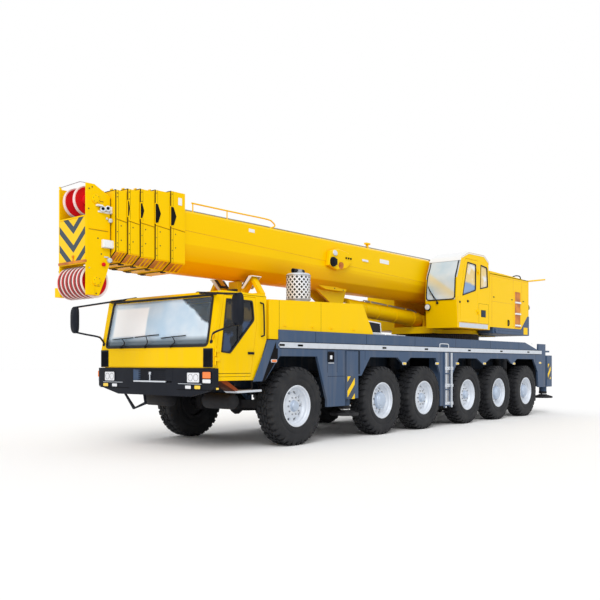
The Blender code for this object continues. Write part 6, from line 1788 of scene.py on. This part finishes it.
def makeHouseParts():
    size, body = houseSize, "superstructure"
    face = size["face"]
    back, front = size["recess"][1], size["recess"][0]
    # the recess: a flush plate of brown painted shade inside a raised rim, with treads standing out of it
    shadedWell = sideSlab(rect(front, back, 2.375, 3.34), face - 0.002, face + 0.0015, 0.0005)
    line = np.asarray(shifted(rect(front + 0.02, back - 0.02, 2.362, 3.36)))
    rims = both(ring(line, 0.022, face - 0.002, face + 0.008))
    treads, grips = [], []
    for z in size["treads"]:
        treads.append(sidePair(back + 0.01, front - 0.01, face + 0.001, face + 0.034, z, z + 0.045, 0.006))
        grips.append(joined(*[sidePair(back + 0.03 + 0.045 * n, back + 0.045 + 0.045 * n, face + 0.003,
            face + 0.033, z + 0.044, z + 0.05, 0.002) for n in range(7)]))
    build("house_steps", [(shadedWell, shadeAndHoseBrown), (rims, yellow), (treads, white), (grips, steel)], body)
    # door seams, handles, latches and plates
    seams = []
    for x in (-7.62, -8.88, -9.42):
        seams.append(sidePair(x - 0.003, x + 0.003, face - 0.002, face + 0.0012, 2.76 if x < -9.37 else 2.38,
            houseTop(x) - 0.05, 0.0004))
    seams += [sidePair(-9.86, -7.52, face - 0.002, face + 0.0012, 3.64, 3.645, 0.0004),
        sidePair(-8.88, -7.62, face - 0.002, face + 0.0012, 3.0, 3.004, 0.0004)]
    build("house_seams", [(seams, shadeAndHoseBrown)], body)
    handles = [joined(*both(pipe([(-8.56, face, 2.555), (-8.56, face + 0.03, 2.545), (-8.56, face + 0.03, 2.435),
        (-8.56, face, 2.425)], 4, 0.013, 8))), sidePair(-8.585, -8.535, face - 0.002, face + 0.006, 2.41, 2.57,
        0.003)]
    handles += [sidePair(x - 0.035, x + 0.035, face - 0.001, face + 0.01, 3.1, 3.125, 0.004) for x in (-7.72, -8.8,
        -9.52)]
    build("house_handles", [(handles, blackPlastic)], body)
    plates = sidePair(-9.8, -9.54, face + 0.0005, face + 0.006, 2.215, 2.405, 0.002)
    build("house_plates", [(plates, yellow)], body)
    # roof rim, louvred exhaust cover and pipes
    rimTop = both(brick(-9.87, -7.51, face - 0.03, face, houseSize["highBack"] - 0.02,
        houseSize["highBack"] + 0.004, 0.003))
    slats = [brick(-8.35 - 0.06 * n, -8.39 - 0.06 * n, -1.3, -0.75, houseTop(-8.4) - 0.002, houseTop(-8.4) + 0.022,
        0.006) for n in range(12)]
    build("house_roof_parts", [(slats, blackPlastic), (rimTop, yellow)], body)
    hoses = []
    for n, y in enumerate((1.06, 1.12, 1.18, 1.24)):
        low = 0.014 * (n % 2)
        line = rounded([at(-8.32 - 0.05 * n, y, houseTop(-8.4) - 0.02), at(-8.4 - 0.05 * n, y,
            houseTop(-8.4) + 0.045), at(-8.9, y, houseTop(-8.9) + 0.04 + low),
            at(-9.5, y + 0.01, houseTop(-9.5) + 0.034 + low), at(-9.86, y + 0.01, houseTop(-9.86) + 0.028),
            at(-9.97, y + 0.01, 3.66), at(-10.0, y, 3.52), at(-9.95, y - 0.02, 3.42)], 5)
        # two of the hoses are drawn in the same brown
        hoses.append((tube(line, 0.016, 10), shadeAndHoseBrown if n in (0, 2) else blackRubber))
    arcs = [pipe([(-9.05, 1.3, houseTop(-9.05)), (-9.2, 1.37, houseTop(-9.2) + 0.07),
        (-9.45, 1.38, houseTop(-9.4) + 0.08), (-9.62, 1.34, houseTop(-9.6))], 5, 0.015, 10)]
    build("house_hoses", [*hoses, (arcs, blackRubber)], body, 60)
    brackets = joined(*[brick(x, x - 0.05, 1.02, 1.29, houseTop(x) - 0.002, houseTop(x) + 0.026,
        0.004) for x in (-8.65, -9.25, -9.75)])
    build("hose_clips", [(brackets, yellow)], body)


def makeWeightParts():
    body = "superstructure"
    seams = [sidePair(-9.36, -7.72, 1.449, 1.4512, 2.27, 2.274, 0.0004)]
    seams += [brick(-9.9215, -9.919, -1.44, 1.44, z, z + 0.005, 0.0004) for z in (2.33, 2.47)]
    build("weight_seams", [(seams, holeBlack)], body)
    lugs = []
    lugs += both(lathe([(0.03, 0), (0.055, 0.004), (0.055, 0.03), (0.03, 0.034)], at(-7.82, 1.449, 2.262),
        (0, 1, 0), 20))
    for y in (0.55, 1.15):
        lugs += both(slab([(y - 0.06, 2.48), (y + 0.06, 2.48), (y + 0.04, 2.6), (y - 0.04, 2.6)], along(-9.955),
            along(-9.92), "YZ", 0.006))
    # rear: pipes, hook block stay and lamp boxes behind the house
    pipes = both(pipe([(-9.88, 1.3, 3.4), (-10.02, 1.32, 3.36), (-10.12, 1.32, 3.18), (-10.02, 1.3, 2.98),
        (-9.9, 1.28, 2.92)], 5, 0.02, 10))
    boxes = joined(*both(brick(-9.99, -9.88, 1.08, 1.24, 2.98, 3.22, 0.01)))
    hooks = joined(*both(pipe([(-10.0, 1.3, 2.97), (-10.13, 1.33, 2.93), (-10.2, 1.33, 2.98), (-10.17, 1.32, 3.06)],
        4, 0.014, 10)))
    build("weight_fittings", [(lugs, grey), (pipes, yellow), (boxes, yellow), (hooks, blackRubber)],
        body)
    lamps = joined(*[lathe([(0.01, 0), (0.045, 0.003), (0.045, 0.02), (0.01, 0.03)], at(-9.99, side * 1.16, z),
        (-1, 0, 0), 20) for side in (1, -1) for z in (3.04, 3.15)])
    build("weight_lamps", [(lamps, redPaint)], body)


winchSize = {"x": -9.98, "z": 3.02, "half": 0.455, "rope": 0.013}


def windingLook():
    # turns of the rope side by side: a wave along y
    look = Look("rope_on_drum")
    y = look.axes()[1]
    wave = (y * (2 * math.pi / 0.026)).sine() * 0.5 + 0.5
    dirt = look.noise(20, 3).ramp(0.4, 0.7)
    return look.done(Base_Color=look.mix(wave, (0.05, 0.048, 0.045), look.mix(dirt * 0.5, (0.33, 0.31, 0.29),
        (0.16, 0.14, 0.12))), Roughness=wave * -0.1 + 0.55, Metallic=0.5, Normal=look.bump(wave, 0.8, 0.006))


def makeWinchParts():
    size = winchSize
    spot = at(size["x"], 0, size["z"])
    half = size["half"]
    wound = lathe([(0.188, -half + 0.035), (0.222, -half + 0.036), (0.222, half - 0.036), (0.188, half - 0.035)],
        spot, (0, 1, 0), 64, True)
    rims = [lathe(rect(0.205, 0.262, y - 0.016, y + 0.016), spot, (0, 1, 0), 48, True) for y in (-half + 0.018,
        half - 0.018)]
    build("winch_rope", [(wound, windingLook()), (rims, yellow)], "superstructure", 50)
    # the rope leaves the drum over the boom's tail and runs along the boom's top to the head
    line = [at(-9.93, 0.2, 3.235), at(-9.6, 0.17, 3.6), at(-9.2, 0.13, 4.015), at(-8.5, 0.1, 4.066)]
    rest = [at(x, 0.08, z) for x, z in ((-6.9, 4.085), (-4.0, 4.078), (-1.0, 4.074), (1.5, 4.07))]
    lead = tube(rounded(line + rest, 6), size["rope"], 10)
    build("hoist_rope", [(lead, steel)], "boom_section_1", 60)


ringSize = {"x": -7.45, "low": 1.978, "high": 2.262, "radius": 1.032, "ribs": 132}


def makeRingParts():
    size = ringSize
    # upright teeth round the ring: one block turned to every place
    turn = evenTurns(size["ribs"])
    points, faces = box(1.018, 1.052, -0.0125, 0.0125, 2.035, 2.15, 0.004)
    c, s = np.cos(turn)[:, None], np.sin(turn)[:, None]
    every = np.stack([c * points[None, :, 0] - s * points[None, :, 1] + along(size["x"]),
        s * points[None, :, 0] + c * points[None, :, 1], np.broadcast_to(points[None, :, 2],
        (len(turn), len(points)))], -1).reshape(-1, 3)
    rows = [tuple(i + n * len(points) for i in row) for n in range(len(turn)) for row in faces]
    lower = lathe([(1.02, 1.976), (1.06, 1.978), (1.06, 2.02), (1.02, 2.03)], at(size["x"], 0, 0), (0, 0, 1), 96,
        True)
    build("ring_teeth", [((every, rows), toothSteel), (lower, darkSteel)])
    spots = [at(size["x"] + 0.94 * math.cos(t), 0.94 * math.sin(t), 2.166) for t in evenTurns(48)]
    build("ring_bolts", [(heads(spots, (0, 0, 1), 0.014, 0.012), steel)])


toothSteel = metalLook("ring_teeth", (0.085, 0.07, 0.06), 0.3, 0.5, 0.4)
makeHouseParts()
makeWeightParts()
makeWinchParts()
makeRingParts()
print("houses, winch and ring made")


# under the carrier, the deck and the tail

axlePlaces = (0.0, -2.65, -4.27, -6.27, -7.95, -9.63)


def makeUnder():
    # dark liners close the arches inside as painted shade: a ceiling and cross walls between the wheels
    liners = [sidePair(-10.4, -3.35, 0.56, 1.415, 1.6, 1.62, 0.004), sidePair(-3.5, -1.86, 0.56, 1.415, 1.6, 1.62,
        0.004), sidePair(-0.86, 0.86, 0.56, 1.415, 1.66, 1.68, 0.004)]
    liners += [sidePair(x - 0.01, x + 0.01, 0.56, 1.4, 0.98, 1.6, 0.004) for x in (-10.44, -5.16)]
    build("arch_liners", [(liners, archShadeBlack)])
    # suspension struts, their bellows and stays at every axle
    struts, rods, stays = [], [], []
    for x in axlePlaces:
        spot = at(x, 0.625, 0)
        struts += both(lathe([(0.02, 1.02), (0.062, 1.022), (0.062, 1.36), (0.074, 1.37), (0.074, 1.58),
            (0.02, 1.6)], spot, (0, 0, 1), 20))
        rods += both(lathe([(0.01, 0.76), (0.042, 0.762), (0.042, 1.03), (0.01, 1.04)], spot, (0, 0, 1), 16))
        stays += both(tube([at(x + 0.02, 0.55, 0.86), at(x + 0.72, 0.5, 1.04)], 0.03, 12))
        stays += both(lathe([(0.012, 0.0), (0.055, 0.003), (0.055, 0.06), (0.012, 0.063)], at(x + 0.72, 0.47, 1.04),
            (0, 1, 0), 18))
    build("suspension", [([*struts, *stays], darkSteel), (rods, chrome)])
    # pipes and hoses along the frame, air tanks behind the front axle
    pipes = [pipe([(1.0, side * 0.535, z), (-3.0, side * 0.535, z), (-7.0, side * 0.535, z),
        (-10.8, side * 0.535, z)], 4, 0.012, 8) for side in (1, -1) for z in (1.2, 1.235, 1.27)]
    tanks = both(lathe([(0.02, -0.36), (0.1, -0.345), (0.135, -0.3), (0.135, 0.3), (0.1, 0.345), (0.02, 0.36)],
        at(1.18, 0.78, 0.8), (0, 1, 0), 28))
    build("under_pipes", [(pipes, blackRubber), (tanks, darkSteel)], smooth=50)


def makeDeck():
    # raised plates with an anti-slip pattern, hatches and lashing rings
    plates = [brick(x0, x1, -1.36, 1.36, 1.9702, 1.9738, 0.001) for x0, x1 in ((-6.2, -3.95), (-9.55, -8.72))]
    plates.append(brick(-3.8, -2.45, -0.92, 0.92, 1.9702, 1.9738, 0.001))
    build("deck_mats", [(plates, matLook())])
    rims, lids = [], []
    for x0, x1, y in ((-4.1, -4.6, 1.0), (-5.4, -5.9, 1.0), (-9.0, -9.4, 0.75)):
        lids += both(brick(x1, x0, y - 0.22, y + 0.22, 1.973, 1.987, 0.005))
        rims += both(pipe([((x0 + x1) / 2 - 0.06, y, 1.985), ((x0 + x1) / 2 - 0.05, y, 2.005),
            ((x0 + x1) / 2 + 0.05, y, 2.005), ((x0 + x1) / 2 + 0.06, y, 1.985)], 4, 0.006, 8))
    build("deck_lids", [(lids, grey), (rims, steel)])


def matLook():
    # studs in two crossed rows: the product of two sine waves turned by 45 degrees
    look = Look("deck_studs")
    x, y, z = look.axes()
    stud = ((x + y) * 130).sine() * ((x - y) * 130).sine()
    worn = look.noise(2.5, 4)
    return look.done(Base_Color=look.mix(worn.ramp(0.4, 0.7) * 0.5, paintShades["grey"], (0.05, 0.06, 0.078)),
        Roughness=worn * 0.2 + 0.45, Normal=look.bump(stud, 0.5, 0.004), Specular_IOR_Level=0.3)


def makeTail():
    back = -11.42
    bar = brick(back - 0.004, back + 0.012, -1.28, 1.28, 0.98, 1.17, 0.004)
    frameForm = both(brick(back - 0.006, back, 0.62, 1.24, 1.0, 1.15, 0.003))
    reds, oranges, clears = [], [], []
    for n, bag in ((0, reds), (1, oranges), (2, reds), (3, clears)):
        spot = at(back - 0.004, 1.18 - 0.15 * n, 1.075)
        bag += both(lathe([(0.01, 0), (0.058, 0.001), (0.058, 0.008), (0.04, 0.013), (0.01, 0.014)], spot,
            (-1, 0, 0), 28))
    plate = brick(back - 0.008, back, -0.26, 0.26, 1.01, 1.13, 0.003)
    build("tail_lamps", [([bar, *frameForm], blackPlastic), (reds, redLens), (oranges, orangeLens),
        (clears, clearLens), (plate, white)])
    flaps = both(brick(-10.485, -10.478, 1.06, 1.4, 0.38, 0.98, 0.003))
    build("mud_flaps", [(flaps, blackRubber)])
    hook = joined(lathe([(0.03, 0), (0.075, 0.003), (0.075, 0.03), (0.03, 0.034)], at(back + 0.014, 0, 1.34),
        (-1, 0, 0), 24), slab(rect(-0.045, 0.045, 1.28, 1.4), along(back - 0.004), along(back + 0.004), "YZ",
        0.002))
    build("tail_hook", [(hook, darkSteel)])


jackTable = {"outrigger_front_left": (-1.6, 1), "outrigger_front_right": (-1.6, -1),
    "outrigger_back_left": (-11.235, 1), "outrigger_back_right": (-11.235, -1)}


def makeJackParts():
    for name, (x, side) in jackTable.items():
        foot = at(x, side * 1.3, 0)
        body = name + "_jack"
        legForm = lathe([(0.02, 0.534), (0.0765, 0.536), (0.0765, 0.556), (0.02, 0.558)], foot, (0, 0, 1), 32)
        pad = lathe([(0.012, 0.433), (0.255, 0.434), (0.2695, 0.446), (0.2695, 0.474), (0.262, 0.488),
            (0.15, 0.496), (0.125, 0.52), (0.11, 0.54), (0.012, 0.541)], foot, (0, 0, 1), 44)
        ribs = [slab([(0.1, 0.484), (0.245, 0.484), (0.245, 0.492), (0.11, 0.528)], -0.008, 0.008, "XZ", 0.002)]
        turned = [moved(ribs[0], [[math.cos(t), -math.sin(t), 0], [math.sin(t), math.cos(t), 0], [0, 0, 1]],
            foot) for t in np.arange(0, 6.2, 0.7854)]
        build(body + "_pad", [([pad, *turned], darkSteel), (legForm, chrome)], body, 50)
        beam = name + "_beam"
        gland = lathe([(0.078, 0.558), (0.108, 0.56), (0.112, 0.575), (0.112, 0.62), (0.108, 0.625),
            (0.078, 0.625)], foot, (0, 0, 1), 36, True)
        bolts = heads([at(x + 0.094 * math.cos(t), side * 1.3 + 0.094 * math.sin(t), 0.562) for t in np.arange(0.2,
            6.4, 0.785)], (0, 0, -1), 0.007, 0.008)
        build(beam + "_gland", [(gland, darkSteel), (bolts, steel)], beam)


# near black for the arch liners: painted shade
archShadeBlack = plasticLook("arch_shade_black", (0.008, 0.009, 0.012), 0.7)
redLens = lensLook("red_lens", (0.6, 0.012, 0.01), 0.03)
makeUnder()
makeDeck()
makeTail()
makeJackParts()
print("underside, deck, tail and jacks made")


# floor, light and camera

stageSize = {"floor": 120.0, "wall": (0.97, 0.97, 0.97), "worldLevel": 0.76, "sunLevel": 1.5}


def makeStage():
    reach = stageSize["floor"]
    mesh = bpy.data.meshes.new("studio_floor")
    mesh.from_pydata([(-reach, -reach, 0), (reach, -reach, 0), (reach, reach, 0), (-reach, reach, 0)], [],
        [(0, 1, 2, 3)])
    floor = linked("studio_floor", mesh)
    look = Look("studio_floor")
    paper = look.noise(0.3, 2)
    look.done(Base_Color=look.mix(paper * 0.2, stageSize["wall"], (0.955, 0.955, 0.96)), Roughness=0.9)
    mesh.materials.append(look.material)
    world = bpy.data.worlds.new("studio_sky")
    world.use_nodes = True
    bpy.context.scene.world = world
    tree = world.node_tree
    sky = tree.nodes["Background"]
    sky.inputs["Color"].default_value = (1, 1, 1, 1)
    path = tree.nodes.new("ShaderNodeLightPath")
    # the camera, mirrors and panes see white; the model is lit a little below it
    seen, more = tree.nodes.new("ShaderNodeMath"), tree.nodes.new("ShaderNodeMath")
    seen.operation = more.operation = "ADD"
    seen.use_clamp = True
    for start, end in ((path.outputs["Is Camera Ray"], more.inputs[0]), (path.outputs["Is Glossy Ray"],
        more.inputs[1]), (more.outputs[0], seen.inputs[0]), (path.outputs["Is Transmission Ray"], seen.inputs[1])):
        tree.links.new(start, end)
    level = tree.nodes.new("ShaderNodeMapRange")
    level.inputs["To Min"].default_value = stageSize["worldLevel"]
    level.inputs["To Max"].default_value = 1.0
    tree.links.new(seen.outputs[0], level.inputs["Value"])
    tree.links.new(level.outputs[0], sky.inputs["Strength"])
    lamp = bpy.data.lights.new("studio_sun", "SUN")
    lamp.energy = stageSize["sunLevel"]
    lamp.angle = math.radians(35)
    linked("studio_sun", lamp).rotation_euler = (math.radians(50), 0, math.radians(126))
    print("stage and light set")


cameraPlace = {"spot": (13.8275, 9.854, 1.421), "yaw": 220.14, "lens": 44.64, "shift": 0.10625}


def makeCamera():
    # level camera; the picture's horizon lies below its middle, which the upward shift gives
    lens = bpy.data.cameras.new("photo_camera")
    lens.lens = cameraPlace["lens"]
    lens.sensor_width = 36
    lens.shift_y = cameraPlace["shift"]
    lens.clip_end = 500
    camera = linked("photo_camera", lens)
    camera.location = cameraPlace["spot"]
    camera.rotation_euler = (math.radians(90), 0, math.radians(cameraPlace["yaw"] - 90))
    bpy.context.scene.camera = camera
    bpy.context.scene.view_settings.view_transform = "Standard"
    print("camera set")


makeStage()
makeCamera()
